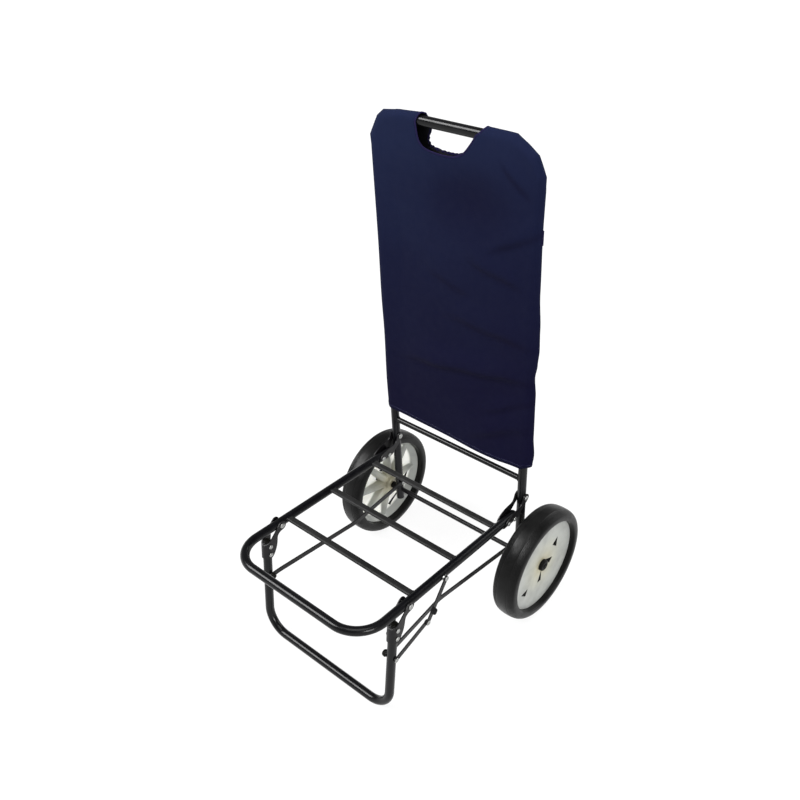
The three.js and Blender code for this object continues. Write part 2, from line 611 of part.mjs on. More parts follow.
function buildStay() {
  const lowerWay = stayMid.clone().sub(linkFront).normalize();
  const lower = addTo(trolley, 'stay_lower', BLACK_STEEL, geometryOf(stayPlate([0, STAY_HALF])),
    STAY_INNER, linkFront.x, linkFront.y);
  standOn(lower, lowerWay, new THREE.Vector2(-lowerWay.y, lowerWay.x));

  // The upper half carries a thumb tab, bent outwards from its front edge.
  const tab = new THREE.BoxGeometry(LOCK_TAB_LONG, STAY_THICK, LOCK_TAB_TALL)
    .translate(STAY_HALF - LOCK_TAB_AT, (STAY_THICK - STAY_WIDE) / 2, LOCK_TAB_TALL / 2);
  const upperWay = stayMid.clone().sub(stayTop).normalize();
  const upper = addTo(trolley, 'stay_upper', BLACK_STEEL,
    geometryOf(stayPlate([0, STAY_HALF]).add(solidOf(tab))), STAY_OUTER, stayTop.x, stayTop.y);
  standOn(upper, upperWay, new THREE.Vector2(-upperWay.y, upperWay.x));

  const legSide = FRAME_HALF - TUBE_R - GAP;
  const lowerHead = STAY_INNER + STAY_THICK + GAP;
  addTo(trolley, 'leg_link_pin_right', ZINC, stud(SMALL_SHANK, lowerHead - legSide, STAY_HEAD_R),
    lowerHead, linkFront.x, linkFront.y);
  const leftHead = FRAME_HALF + TUBE_R + GAP;
  addTo(trolley, 'leg_link_pin_left', ZINC, stud(SMALL_SHANK, leftHead - legSide, STAY_HEAD_R),
    -leftHead, linkFront.x, linkFront.y).rotation.z = Math.PI;
  const upperHead = STAY_OUTER + STAY_THICK + GAP;
  addTo(trolley, 'stay_top_pin', ZINC, stud(SMALL_SHANK, upperHead - legSide, STAY_HEAD_R),
    upperHead, stayTop.x, stayTop.y);
  const washer = turned([
    [STAY_OUTER - GAP, SMALL_SHANK + GAP], [STAY_OUTER - GAP, WASHER_R], [STAY_INNER - GAP, WASHER_R],
    [STAY_INNER - GAP, SMALL_SHANK + GAP], [STAY_OUTER - GAP, SMALL_SHANK + GAP],
  ], 10);
  addTo(trolley, 'stay_washer', ZINC, washer, 0, stayTop.x, stayTop.y);
  addTo(trolley, 'stay_mid_pin_outer', ZINC, stud(SMALL_SHANK, upperHead - STAY_OUTER, STAY_HEAD_R),
    upperHead, stayMid.x, stayMid.y);
  addTo(trolley, 'stay_mid_pin_inner', ZINC, stud(SMALL_SHANK, STAY_THICK, STAY_HEAD_R),
    STAY_INNER - GAP, stayMid.x, stayMid.y).rotation.z = Math.PI;
}

buildBackFrame();
buildCover();
buildWheels();
buildPlatform();
buildLeg();
buildBrackets();
buildLinks();
buildStay();

export default trolley;
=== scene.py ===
"""A folding shopping trolley: fine meshes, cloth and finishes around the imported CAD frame. Metres, +Z up."""
import json
import math

import bmesh
import bpy
from mathutils import Euler, Matrix, Vector, noise
from mathutils.geometry import delaunay_2d_cdt


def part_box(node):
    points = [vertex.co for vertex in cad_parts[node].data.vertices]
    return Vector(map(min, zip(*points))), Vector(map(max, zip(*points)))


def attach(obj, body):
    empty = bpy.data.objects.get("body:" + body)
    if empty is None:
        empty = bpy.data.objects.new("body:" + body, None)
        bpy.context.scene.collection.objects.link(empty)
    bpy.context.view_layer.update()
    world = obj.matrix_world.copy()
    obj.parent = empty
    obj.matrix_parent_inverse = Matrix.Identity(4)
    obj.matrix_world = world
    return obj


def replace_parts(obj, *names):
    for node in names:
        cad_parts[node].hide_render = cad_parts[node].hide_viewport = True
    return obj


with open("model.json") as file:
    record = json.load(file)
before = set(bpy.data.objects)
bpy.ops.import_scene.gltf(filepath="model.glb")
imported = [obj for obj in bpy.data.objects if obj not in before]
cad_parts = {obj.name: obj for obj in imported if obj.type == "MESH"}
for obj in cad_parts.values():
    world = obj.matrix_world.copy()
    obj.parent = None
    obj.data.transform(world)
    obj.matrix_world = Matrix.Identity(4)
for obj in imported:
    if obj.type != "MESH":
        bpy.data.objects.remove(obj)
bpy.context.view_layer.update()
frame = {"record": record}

RECORD = frame["record"]
BODY_OF = {node: body for body, nodes in RECORD["behaviour"]["bodies"].items() for node in nodes}
SLOT_OF = {row["node"]: row["material_slot"] for row in RECORD["subparts"]}
JOINT_AT = {joint["name"]: Vector(joint["pos_m"]) for joint in RECORD["behaviour"]["joints"]}
TURN = 2 * math.pi
QUARTER = math.pi / 2

# ------------------------------------------------------------------ sizes, as the CAD model has them
TUBE_R = 0.009
WALL = 0.0012
GAP = 0.0003
LEAN = math.radians(3.457)       # the back frame leans forward
TILT = math.radians(4.756)       # the leg loop's foot stands forward of its top
AXLE = JOINT_AT["wheel_right_spin"]
WHEEL_X = AXLE.x
FRAME_HALF = 0.168
HANDLE_Z = 0.9756
UPRIGHT_FOOT_Z = 0.102
BACK_CORNER = 0.058
BACK_BAR_Z = 0.3274
BACK_BAR_R = 0.006
COVER_HEM_Z = 0.361
AXLE_R = 0.005
AXLE_PAST_FRAME = 0.066
RAIL_Z = 0.252
RAIL_REAR, RAIL_NOSE = -0.033, -0.481
PLATFORM_CORNER = 0.062
CROSSBAR_WIDE, CROSSBAR_TALL = 0.015, 0.007
CROSSBAR_LIFT = 0.002            # the crossbars' middle lies above the rails' middle
BAR_SINK = 0.0012                # how far a welded bar runs into its tube
LEG_TOP = 0.228
LEG_CORNER = 0.048
LEG_BELOW_LINK = 0.1475
LINK_THICK = 0.0028
LINK_WIDE = 0.011
LINK_CLEAR = 0.0006              # from a tube to the bar beside it
LINK_BEND = 0.17                 # from the nearer end: the two links are turned end for end
LINK_BOW = 0.015
STAY_THICK = 0.0024
STAY_HALF = 0.091
SHEET = 0.002
RIVET_STEP = 0.0195
SHANK_R = 0.0024
HEAD_TALL = 0.0024
RIVET_HEAD_R = 0.0046
PIN_HEAD_R, PIN_SHANK_R = 0.0056, 0.003
LINK_HEAD_R = 0.0052
STAY_HEAD_R = 0.005
PIVOT_U, PIVOT_V = 0.0555, 0.0315
HUB_R = 0.1035
HUB_BACK = -0.012
BOSS_BACK = -0.024
DISC_X = 0.015
BOSS_R = 0.015
TINY_R = 0.00005                 # a turned piece's radius where it comes to a point

ACROSS = Vector((1, 0, 0))
REARWARD = Vector((0, 1, 0))
UPWARD = Vector((0, 0, 1))
UPRIGHT_UP = Vector((0, -math.sin(LEAN), math.cos(LEAN)))
UPRIGHT_OUT = Vector((0, -math.cos(LEAN), -math.sin(LEAN)))
LEG_UP = Vector((0, math.sin(TILT), math.cos(TILT)))
LEG_OUT = Vector((0, -math.cos(TILT), math.sin(TILT)))
FOLD_PIVOT = JOINT_AT["platform_fold"]
LEG_PIVOT = JOINT_AT["leg_fold"]
SIDES = (("left", -1), ("right", 1))


def in_middle(joint):
    """A joint's place, moved across to the trolley's middle plane."""
    return JOINT_AT[joint] * Vector((0, 1, 1))


LINK_REAR = in_middle("link_right_fold")
LINK_FRONT = in_middle("stay_lower_fold")
STAY_TOP = in_middle("stay_upper_fold")


def along(z):
    """Height above the floor to the distance along an upright from the axle."""
    return (z - AXLE.z) / math.cos(LEAN)


def clamp(value):
    return min(max(value, 0), 1)


class Place:
    """A flat working frame: x, y and z of the shape become u, v and w in the trolley's frame."""

    def __init__(self, origin, u, v, w=None):
        self.origin, self.u, self.v = Vector(origin), Vector(u), Vector(v)
        self.w = Vector(w) if w else self.u.cross(self.v)

    def __call__(self, x, y, z):
        return self.origin + self.u * x + self.v * y + self.w * z


BACK = Place((0, AXLE.y, AXLE.z), ACROSS, UPRIGHT_UP, UPRIGHT_OUT)
LEG = Place(LINK_FRONT - LEG_UP * LEG_BELOW_LINK, ACROSS, LEG_UP, LEG_OUT)
PLATFORM = Place((0, AXLE.y, RAIL_Z), ACROSS, REARWARD)
PLAIN = Place((0, 0, 0), ACROSS, REARWARD)
SIDEWAYS = Place((0, 0, 0), REARWARD, UPWARD, ACROSS)


def add_object(name, data):
    made = bpy.data.objects.new(name, data)
    bpy.context.collection.objects.link(made)
    return made


# ------------------------------------------------------------------ camera, light and floor
SENSOR, LENS = 36, 37.905
LENS_SHIFT = (-0.0154, 0.0686)
CAMERA_AT = (0.8683, AXLE.y - 1.1546, 1.3389)
CAMERA_TURN = (54.2457, -0.0092, 40.8538)    # degrees about X, Y and Z: it looks down from the front right
# Each sun: where it shines from, its strength, and its width in degrees.
SUNS = {
    "key": ((-0.62, -0.55, 0.75), 3.2, 28),
    "top": ((0.12, -0.2, 0.9), 1.2, 40),
    "back": ((0.2, 0.8, 0.45), 1.3, 40),
    "side": ((0.85, -0.3, 0.42), 2.2, 24),
}
SKY = ((0.0, 1.0), (0.1, 0.62), (0.28, 0.22))    # (height in the sky, brightness): horizon to ceiling
FLOOR_HALF = 60
FLOOR_GLOW = 0.89
WHITE = (1, 1, 1, 1)


def add_camera():
    data = bpy.data.cameras.new("camera")
    data.sensor_width = SENSOR
    data.lens = LENS
    data.shift_x, data.shift_y = LENS_SHIFT
    camera = add_object("camera", data)
    turned = Euler([math.radians(degrees) for degrees in CAMERA_TURN]).to_matrix().to_4x4()
    camera.matrix_world = Matrix.Translation(CAMERA_AT) @ turned
    bpy.context.scene.camera = camera


def add_suns():
    for name, (towards, strength, width) in SUNS.items():
        data = bpy.data.lights.new(name, "SUN")
        data.energy = strength
        data.angle = math.radians(width)
        add_object(name, data).rotation_euler = (-Vector(towards)).to_track_quat("-Z", "Y").to_euler()


def add_world():
    """A white horizon under a dim ceiling, so that black paint mirrors darkness and keeps crisp lights."""
    world = bpy.data.worlds.new("studio")
    bpy.context.scene.world = world
    world.use_nodes = True
    tree = world.node_tree
    coords = tree.nodes.new("ShaderNodeTexCoord")
    split = tree.nodes.new("ShaderNodeSeparateXYZ")
    ramp = tree.nodes.new("ShaderNodeValToRGB")
    tree.links.new(coords.outputs["Generated"], split.inputs[0])
    tree.links.new(split.outputs[2], ramp.inputs["Fac"])
    tree.links.new(ramp.outputs["Color"], tree.nodes["Background"].inputs["Color"])
    ramp.color_ramp.elements.new(0.5)
    for element, (at, level) in zip(ramp.color_ramp.elements, SKY):
        element.position = at
        element.color = (level, level, level, 1)


def add_studio():
    add_world()
    add_suns()
    mesh = bpy.data.meshes.new("floor")
    corners = [(x * FLOOR_HALF, y * FLOOR_HALF, 0) for x, y in ((-1, -1), (1, -1), (1, 1), (-1, 1))]
    mesh.from_pydata(corners, [], [(0, 1, 2, 3)])
    floor = add_object("floor", mesh)
    paint = Paint("floor_white", (0.12, 0.12, 0.12), 0.9, Specular_IOR_Level=0.1,
                  Emission_Strength=FLOOR_GLOW)
    paint.set("Emission Color", WHITE)
    mesh.materials.append(paint.material)
    bpy.context.scene.view_settings.view_transform = "Standard"


# ------------------------------------------------------------------ materials
class Paint:
    """A Principled material with helpers for the procedural nodes that feed it."""

    def __init__(self, name, colour, roughness, metallic=0.0, **uniform):
        self.material = bpy.data.materials.new(name)
        self.material.use_nodes = True
        self.tree = self.material.node_tree
        self.shader = self.tree.nodes["Principled BSDF"]
        self.set("Base Color", (*colour, 1))
        self.set("Roughness", roughness)
        self.set("Metallic", metallic)
        for socket, value in uniform.items():
            self.set(socket.replace("_", " "), value)
        self.coords = None

    def set(self, socket, value):
        self.shader.inputs[socket].default_value = value

    def put(self, socket, value):
        """Sets a node's input, or links it to another node's output."""
        if isinstance(value, bpy.types.NodeSocket):
            self.tree.links.new(value, socket)
        else:
            socket.default_value = value

    def node(self, kind, **inputs):
        made = self.tree.nodes.new(kind)
        for socket, value in inputs.items():
            self.put(made.inputs[socket.replace("_", " ")], value)
        return made

    def place(self, kind="Object"):
        if self.coords is None:
            self.coords = self.tree.nodes.new("ShaderNodeTexCoord")
        return self.coords.outputs[kind]

    def noise(self, scale, detail=3, coords=None, stretch=None):
        source = coords or self.place()
        if stretch:
            source = self.node("ShaderNodeMapping", Vector=source, Scale=stretch).outputs[0]
        return self.node("ShaderNodeTexNoise", Vector=source, Scale=scale, Detail=detail).outputs["Fac"]

    def ramp(self, value, *stops):
        made = self.node("ShaderNodeValToRGB", Fac=value)
        ramp = made.color_ramp
        while len(ramp.elements) < len(stops):
            ramp.elements.new(0.5)
        for element, (at, colour) in zip(ramp.elements, stops):
            element.position = at
            element.color = (*colour, 1)
        return made.outputs["Color"]

    def span(self, value, low, high, to_low=0.0, to_high=1.0):
        made = self.node("ShaderNodeMapRange", Value=value, From_Min=low, From_Max=high,
                         To_Min=to_low, To_Max=to_high)
        return made.outputs["Result"]

    def maths(self, operation, first, second=0.0):
        made = self.tree.nodes.new("ShaderNodeMath")
        made.operation = operation
        for socket, value in zip(made.inputs, (first, second)):
            self.put(socket, value)
        return made.outputs[0]

    def tinted(self, colour, share, low):
        """The colour, darkened to 'low' where the share is small."""
        made = self.tree.nodes.new("ShaderNodeVectorMath")
        made.operation = "SCALE"
        self.tree.links.new(colour, made.inputs[0])
        self.tree.links.new(self.span(share, 0.35, 0.6, low, 1.0), made.inputs["Scale"])
        return made.outputs[0]

    def feed(self, socket, value):
        self.tree.links.new(value, self.shader.inputs[socket])
        return self

    def mottled(self, grain, *stops):
        """Runs the base colour through the stops, by the grain."""
        return self.feed("Base Color", self.ramp(grain, *stops))

    def rough(self, scale, detail, low, high, coords=None):
        """Lets the roughness wander from low to high in patches."""
        return self.feed("Roughness", self.span(self.noise(scale, detail, coords), 0.3, 0.7, low, high))

    def bump(self, height, strength, distance):
        normal = self.node("ShaderNodeBump", Height=height, Strength=strength, Distance=distance)
        last = self.shader.inputs["Normal"]
        if last.is_linked:
            self.tree.links.new(last.links[0].from_socket, normal.inputs["Normal"])
        self.tree.links.new(normal.outputs["Normal"], last)
        return self


def powder_coat():
    """Gloss black powder coat: a fine orange peel, and dust that takes the shine down here and there."""
    paint = Paint("black_powder_coat", (0.005, 0.005, 0.006), 0.2, Specular_IOR_Level=0.2)
    paint.mottled(paint.noise(38, 4), (0.3, (0.0025, 0.0025, 0.003)), (0.75, (0.005, 0.005, 0.006)))
    return paint.rough(120, 5, 0.17, 0.27).bump(paint.noise(220, 2), 0.02, 0.0002)


def matt_coat():
    """The crossbars' coat, rubbed matt and a little grey by loads."""
    paint = Paint("matt_black_coat", (0.008, 0.008, 0.008), 0.55, Specular_IOR_Level=0.25)
    paint.mottled(paint.noise(14, 5), (0.35, (0.004, 0.004, 0.004)), (0.7, (0.015, 0.015, 0.015)))
    return paint.rough(110, 5, 0.45, 0.65).bump(paint.noise(900, 2), 0.05, 0.0002)


def pressed_steel():
    """Satin black paint on pressed steel, thin and a little brown where it is handled."""
    paint = Paint("satin_black_steel", (0.005, 0.005, 0.006), 0.35, Specular_IOR_Level=0.22)
    paint.mottled(paint.noise(90, 5), (0.35, (0.003, 0.003, 0.004)), (0.72, (0.007, 0.006, 0.006)))
    return paint.rough(200, 4, 0.3, 0.5).bump(paint.noise(900, 3), 0.08, 0.0002)


def zinc():
    """Dull zinc plating with a fine grain and darker blotches."""
    paint = Paint("zinc_plate", (0.42, 0.43, 0.42), 0.38, 1.0)
    paint.mottled(paint.noise(500, 5), (0.3, (0.2, 0.2, 0.19)), (0.7, (0.5, 0.51, 0.5)))
    return paint.rough(900, 3, 0.28, 0.5).bump(paint.noise(2200, 2), 0.2, 0.0002)


def black_plastic():
    """Moulded black plastic, grubby in patches."""
    paint = Paint("black_plastic", (0.003, 0.003, 0.003), 0.5, Specular_IOR_Level=0.1)
    paint.mottled(paint.noise(160, 3), (0.3, (0.002, 0.002, 0.002)), (0.7, (0.006, 0.0055, 0.004)))
    return paint.rough(300, 4, 0.4, 0.62).bump(paint.noise(2500, 2), 0.25, 0.0002)


def rubber():
    """Black tyre rubber: moulding rings are in the mesh, with a bloom of dust and a fine grain here."""
    paint = Paint("tyre_rubber", (0.006, 0.006, 0.006), 0.4, Specular_IOR_Level=0.15)
    paint.mottled(paint.noise(30, 6), (0.35, (0.003, 0.003, 0.003)), (0.75, (0.006, 0.006, 0.006)))
    return paint.rough(70, 5, 0.28, 0.42).bump(paint.noise(1800, 3), 0.3, 0.0003)


def slot_painted_shade():
    """Near-black paint for the walls of the hubs' slots: painted shade for the cavity behind them."""
    return Paint("hub_slot_painted_shade", (0.006, 0.006, 0.006), 0.8).rough(300, 3, 0.65, 0.9)


YARN = 0.0009                    # from one yarn of the cloth to the next


def navy_cloth(name, lit_colour, middle, painted_dark, weave=1.0):
    """Plain-weave cloth, painted lighter towards its top left as painted light, and darker where the cover's
    per-point shade attribute says, as painted shade. The UV map is in metres on the flat cloth.
    """
    paint = Paint(name, middle, 0.85, Sheen_Weight=0.03, Sheen_Roughness=0.4, Specular_IOR_Level=0.06)
    paint.set("Sheen Tint", (0.35, 0.4, 0.75, 1))
    uv = paint.place("UV")
    split = paint.node("ShaderNodeSeparateXYZ", Vector=uv)
    across, down = (paint.maths("SINE", paint.maths("MULTIPLY", split.outputs[i], math.pi / YARN))
                    for i in (0, 1))
    slub = paint.noise(260, 4, uv, (1, 0.12, 1))
    height = paint.maths("ADD", paint.maths("MULTIPLY", across, down), paint.maths("MULTIPLY", slub, 1.4))
    # Painted light: the tone rises towards the top left, where the light falls on the cloth.
    height_up = paint.maths("SUBTRACT", split.outputs[1], paint.maths("MULTIPLY", split.outputs[0], 0.35))
    lit_tone = paint.span(height_up, 0.35, 0.85, 0.05, 0.7)
    # Painted shade: a per-point attribute of the cover darkens the tone in its creases and below the neckline.
    painted_shade_node = paint.node("ShaderNodeAttribute")
    painted_shade_node.attribute_name = "painted_shade"
    lit_tone = paint.maths("SUBTRACT", lit_tone, painted_shade_node.outputs["Fac"])
    blotches = paint.maths("ADD", paint.maths("MULTIPLY", paint.noise(6, 3, uv), 0.25),
                           paint.maths("MULTIPLY", slub, 0.05))
    # The ramp runs from painted shade through the plain navy to painted light.
    paint.mottled(paint.maths("ADD", lit_tone, blotches), (0.15, painted_dark), (0.56, middle), (0.88, lit_colour))
    return paint.rough(60, 4, 0.78, 0.92, uv).bump(height, 0.35 * weave, 0.00025)


def black_backing():
    """The cloth's inner face: near black, with a fine grain."""
    paint = Paint("black_cloth_backing", (0.004, 0.004, 0.005), 0.7, Specular_IOR_Level=0.1)
    grain = paint.noise(900, 3, paint.place("UV"))
    paint.mottled(grain, (0.3, (0.003, 0.003, 0.004)), (0.7, (0.006, 0.006, 0.008)))
    return paint.bump(grain, 0.3, 0.0002)


def thread(name, colour):
    paint = Paint(name, colour, 0.8, Sheen_Weight=0.2)
    twist = paint.noise(1500, 2)
    pale = tuple(min(1, c * 1.8) for c in colour)
    return paint.mottled(twist, (0.3, colour), (0.7, pale)).bump(twist, 0.4, 0.0002)


def ivory_plastic():
    """Moulded ivory plastic: cooler and greyer towards the rim, creamy towards the boss, with flow marks; the
    pockets between the arms on its inner side are painted near white as painted light.
    """
    paint = Paint("ivory_plastic", (0.6, 0.62, 0.56), 0.42, Subsurface_Weight=0.15, Subsurface_Scale=0.004)
    paint.set("Subsurface Radius", (1.0, 0.95, 0.8))
    split = paint.node("ShaderNodeSeparateXYZ", Vector=paint.place("UV"))
    radius, depth = split.outputs[0], split.outputs[1]
    face = paint.ramp(paint.span(radius, 0.01, HUB_R), (0.0, (0.4, 0.37, 0.25)), (0.3, (0.36, 0.36, 0.3)),
                      (0.62, (0.33, 0.34, 0.315)), (1.0, (0.33, 0.34, 0.325)))
    # Painted light: the floors of the pockets between the arms are painted near white.
    lit_pocket = paint.span(depth, 0.002, 0.006)
    shut = paint.span(depth, 0.0095, 0.0105, 1.0, 0.0)
    mix = paint.tree.nodes.new("ShaderNodeMix")
    mix.data_type = "RGBA"
    paint.put(mix.inputs[0], paint.maths("MULTIPLY", lit_pocket, shut))
    paint.put(mix.inputs[6], paint.tinted(face, paint.noise(26, 3, None, (0.35, 1, 1)), 0.8))
    paint.put(mix.inputs[7], (1.0, 1.0, 0.95, 1))
    paint.feed("Base Color", mix.outputs[2]).rough(60, 4, 0.34, 0.5)
    return paint.bump(paint.noise(45, 5), 0.25, 0.0008).bump(paint.noise(1500, 2), 0.08, 0.0002)


# ------------------------------------------------------------------ mesh helpers
def face_outwards(mesh):
    work = bmesh.new()
    work.from_mesh(mesh)
    bmesh.ops.recalc_face_normals(work, faces=work.faces)
    work.to_mesh(mesh)
    work.free()


def plain_object(name, points, faces):
    mesh = bpy.data.meshes.new(name)
    mesh.from_pydata([tuple(p) for p in points], [], faces)
    face_outwards(mesh)
    return add_object(name, mesh)


def lay_uv(mesh, name, flat_place):
    """Adds a UV map that gives each point flat_place(its index, its place)."""
    layer = mesh.uv_layers.new(name=name)
    for loop in mesh.loops:
        layer.data[loop.index].uv = flat_place(loop.vertex_index, mesh.vertices[loop.vertex_index].co)


def dress(piece, paint, body, slot, sharp=40):
    """Gives a piece its finish, smooth shading with crisp corners, and the body that it rides on."""
    if not piece.data.materials:
        piece.data.materials.append(paint.material)
    piece.data.shade_smooth()
    piece.data.set_sharp_from_angle(angle=math.radians(sharp))
    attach(piece, body)
    return piece


def stand_for(node, piece, paint, sharp=40):
    dress(piece, paint, BODY_OF[node], SLOT_OF[node], sharp)
    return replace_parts(piece, node)


def stand_in(node, shape, paint, sharp=40):
    """Puts a fine piece of this shape, its points and faces, in a CAD node's place."""
    stand_for(node, plain_object(f"{node}_fine", *shape), paint, sharp)


def skin(rings, capped=True, closed=False):
    """Points and faces of the surface over rings of equal length, each ring one closed loop."""
    count = len(rings[0])
    points = [p for ring in rings for p in ring]
    faces = []
    for i in range(len(rings) if closed else len(rings) - 1):
        j = (i + 1) % len(rings)
        for k in range(count):
            m = (k + 1) % count
            faces.append((i * count + k, i * count + m, j * count + m, j * count + k))
    if capped and not closed:
        last = (len(rings) - 1) * count
        faces.append(tuple(reversed(range(count))))
        faces.append(tuple(last + k for k in range(count)))
    return points, faces


def lathe(profile, place, steps=48, round_it=True):
    """A turned piece: profile holds (along the axis, radius), and place's u is the axis."""
    turns = [TURN * k / steps for k in range(steps)]
    rings = [[place(a, r * math.cos(turn), r * math.sin(turn)) for turn in turns] for a, r in profile]
    return skin(rings, capped=not round_it, closed=round_it)


def joined(*shapes):
    points, faces = [], []
    for more_points, more_faces in shapes:
        start = len(points)
        points.extend(more_points)
        faces.extend(tuple(start + i for i in face) for face in more_faces)
    return points, faces


def bevelled(piece, width, segments=2, angle=35):
    made = piece.modifiers.new("bevel", "BEVEL")
    made.width, made.segments = width, segments
    made.limit_method = "ANGLE"
    made.angle_limit = math.radians(angle)
    made.harden_normals = True
    return piece


def prism(outline, low, high, place):
    """The solid under a flat outline from z = low to z = high, in the frame of place."""
    return skin([[place(x, y, z) for x, y in outline] for z in (low, high)])


def cut(piece, other, operation):
    """Applies a boolean to piece and removes the other object."""
    change = piece.modifiers.new("cut", "BOOLEAN")
    change.object, change.operation, change.solver = other, operation, "EXACT"
    graph = bpy.context.evaluated_depsgraph_get()
    made = bpy.data.meshes.new_from_object(piece.evaluated_get(graph))
    piece.modifiers.clear()
    piece.data = made
    bpy.data.objects.remove(other)
    return piece


def arc(x, y, radius, start, end, steps):
    return [(x + radius * math.cos(start + (end - start) * i / steps),
             y + radius * math.sin(start + (end - start) * i / steps)) for i in range(steps + 1)]


def curve(start, control, end, steps):
    """A quadratic curve's points after its start."""
    return [tuple((1 - t) ** 2 * s + 2 * t * (1 - t) * c + t * t * e for s, c, e in zip(start, control, end))
            for t in (i / steps for i in range(1, steps + 1))]


# ------------------------------------------------------------------ bent tubes
def u_line(half, start, end, corner, bend_steps=16):
    """Points and directions of a U: up x = -half from y = start, across y = end, and down x = half."""
    way = math.copysign(1, end - start)
    line = [((-half, start), (0, way))]
    for side in (-1, 1):
        for i in range(bend_steps + 1):
            turn = QUARTER * i / bend_steps
            rise, reach = (math.sin(turn), math.cos(turn)) if side < 0 else (math.cos(turn), math.sin(turn))
            point = (side * (half - corner + corner * reach), end - way * corner * (1 - rise))
            line.append((point, (rise, way * reach) if side < 0 else (rise, -way * reach)))
    line.append(((half, start), (0, -way)))
    return line


def bent_tube(line, place, radius=TUBE_R, steps=32):
    """A tube along a flat line, with rounded rims and walls at its open ends."""
    def ring(point, direction, r, back=0.0):
        (x, y), (dx, dy) = point, direction
        across = [(r * math.cos(TURN * k / steps), r * math.sin(TURN * k / steps)) for k in range(steps)]
        return [place(x - dx * back - dy * c, y - dy * back + dx * c, s) for c, s in across]

    deep, rim = 0.012, 0.0004
    bore = radius - WALL
    end = [(bore, deep), (bore, rim), (bore + rim, 0), (radius - rim, 0), (radius, rim)]
    rings = [ring(*line[0], r, -back) for r, back in end]
    rings += [ring(point, direction, radius) for point, direction in line[1:-1]]
    rings += [ring(*line[-1], r, back) for r, back in reversed(end)]
    return skin(rings)


def weld_bead(place, outline, seam, radius=0.0017, steps=56, seed=1):
    """A rippled bead where a bar meets a tube. outline gives (y, z) round the bar, and seam its x."""
    rings = []
    flattened, ripple = 0.8, 0.22
    for k in range(steps):
        y, z = outline(TURN * k / steps)
        x = seam(y, z)
        out = Vector((y, z)).normalized()
        r = radius * (1 + ripple * math.sin(k * 2.1 + seed) * math.cos(k * 0.9 + seed * 2))
        section = [(r * math.sin(TURN * i / 10), r * math.cos(TURN * i / 10) * flattened) for i in range(10)]
        rings.append([place(x + a, y + out.x * b, z + out.y * b) for a, b in section])
    return skin(rings, closed=True)


def plug_profile():
    """A tube's end plug: a dome outside the tube, and a stem inside it."""
    tall, stem, stem_long, point = 0.0032, TUBE_R - WALL - GAP, 0.0045, 0.0001
    turns = [QUARTER * i / 10 for i in range(10)]
    dome = [(-tall * math.cos(turn), point + (TUBE_R - 0.0009) * math.sin(turn)) for turn in turns]
    return dome + [(-0.0007, TUBE_R - 0.0001), (-0.0001, TUBE_R), (0, TUBE_R - 0.0004), (0, stem),
                   (stem_long, stem), (stem_long, point)]


def add_plug(node, origin, inward, paint):
    side = Vector((0, inward.z, -inward.y))
    stand_in(node, lathe(plug_profile(), Place(origin, inward, side), 40), paint)


# ------------------------------------------------------------------ rivets
def rivet_head(radius):
    """Profile of a domed head standing on 0 towards +, from its edge to its top."""
    edge = 0.0004
    turns = [QUARTER * i / 7 for i in range(1, 8)]
    dome = [(edge + (HEAD_TALL - edge) * math.sin(turn), max(radius * math.cos(turn), TINY_R))
            for turn in turns]
    return [(0, radius - edge), (edge, radius), *dome]


def double_rivet(grip, radius, shank=SHANK_R):
    head = [(grip / 2 + a, r) for a, r in rivet_head(radius)]
    return [*((-a, r) for a, r in reversed(head)), (-grip / 2, shank), (grip / 2, shank), *head]


def half_rivet(depth, radius):
    return [(-depth, TINY_R), (-depth, SHANK_R), (0, SHANK_R), *rivet_head(radius)]


def add_rivet(node, origin, profile, paint, way=1):
    stand_in(node, lathe(profile, Place(origin, ACROSS * way, REARWARD * way), 32), paint)


# ------------------------------------------------------------------ back frame
def round_outline(radius):
    return lambda turn: (radius * math.cos(turn), radius * math.sin(turn))


def build_back_frame(coat, plastic, steel):
    top, foot = along(HANDLE_Z), along(UPRIGHT_FOOT_Z)
    stand_in("back_frame", bent_tube(u_line(FRAME_HALF, foot, top, BACK_CORNER), BACK), coat)

    reach = FRAME_HALF - TUBE_R + BAR_SINK
    bar_place = Place(BACK(0, along(BACK_BAR_Z), 0), ACROSS, UPRIGHT_UP, UPRIGHT_OUT)
    bar = lathe([(-reach, BACK_BAR_R), (reach, BACK_BAR_R)], bar_place, 32, round_it=False)
    stand_in("back_crossbar", bar, coat)
    beads = []
    for _, side in SIDES:
        place = Place(bar_place.origin, ACROSS * side, UPRIGHT_UP, UPRIGHT_OUT)
        beads.append(weld_bead(place, round_outline(BACK_BAR_R),
                               lambda y, z: FRAME_HALF - math.sqrt(TUBE_R ** 2 - z * z), seed=side + 4))
    dress(plain_object("back_crossbar_welds", *joined(*beads)), coat, "frame", "black_paint")

    for name, side in SIDES:
        add_plug(f"upright_plug_{name}", BACK(side * FRAME_HALF, foot - GAP, 0), UPRIGHT_UP, plastic)
    end, chamfer = FRAME_HALF + AXLE_PAST_FRAME, 0.0008
    rod = [(-end, AXLE_R - chamfer), (-end + chamfer, AXLE_R), (end - chamfer, AXLE_R),
           (end, AXLE_R - chamfer)]
    stand_in("axle", lathe(rod, Place(BACK.origin, ACROSS, REARWARD), 36, round_it=False), steel)


# ------------------------------------------------------------------ platform
def flat_oval(wide, tall):
    """Outline of a flattened tube by angle: straight top and bottom with round edges."""
    r = tall / 2
    flat = wide / 2 - r
    return arc(flat, 0, r, -QUARTER, QUARTER, 9) + arc(-flat, 0, r, QUARTER, 3 * QUARTER, 9)


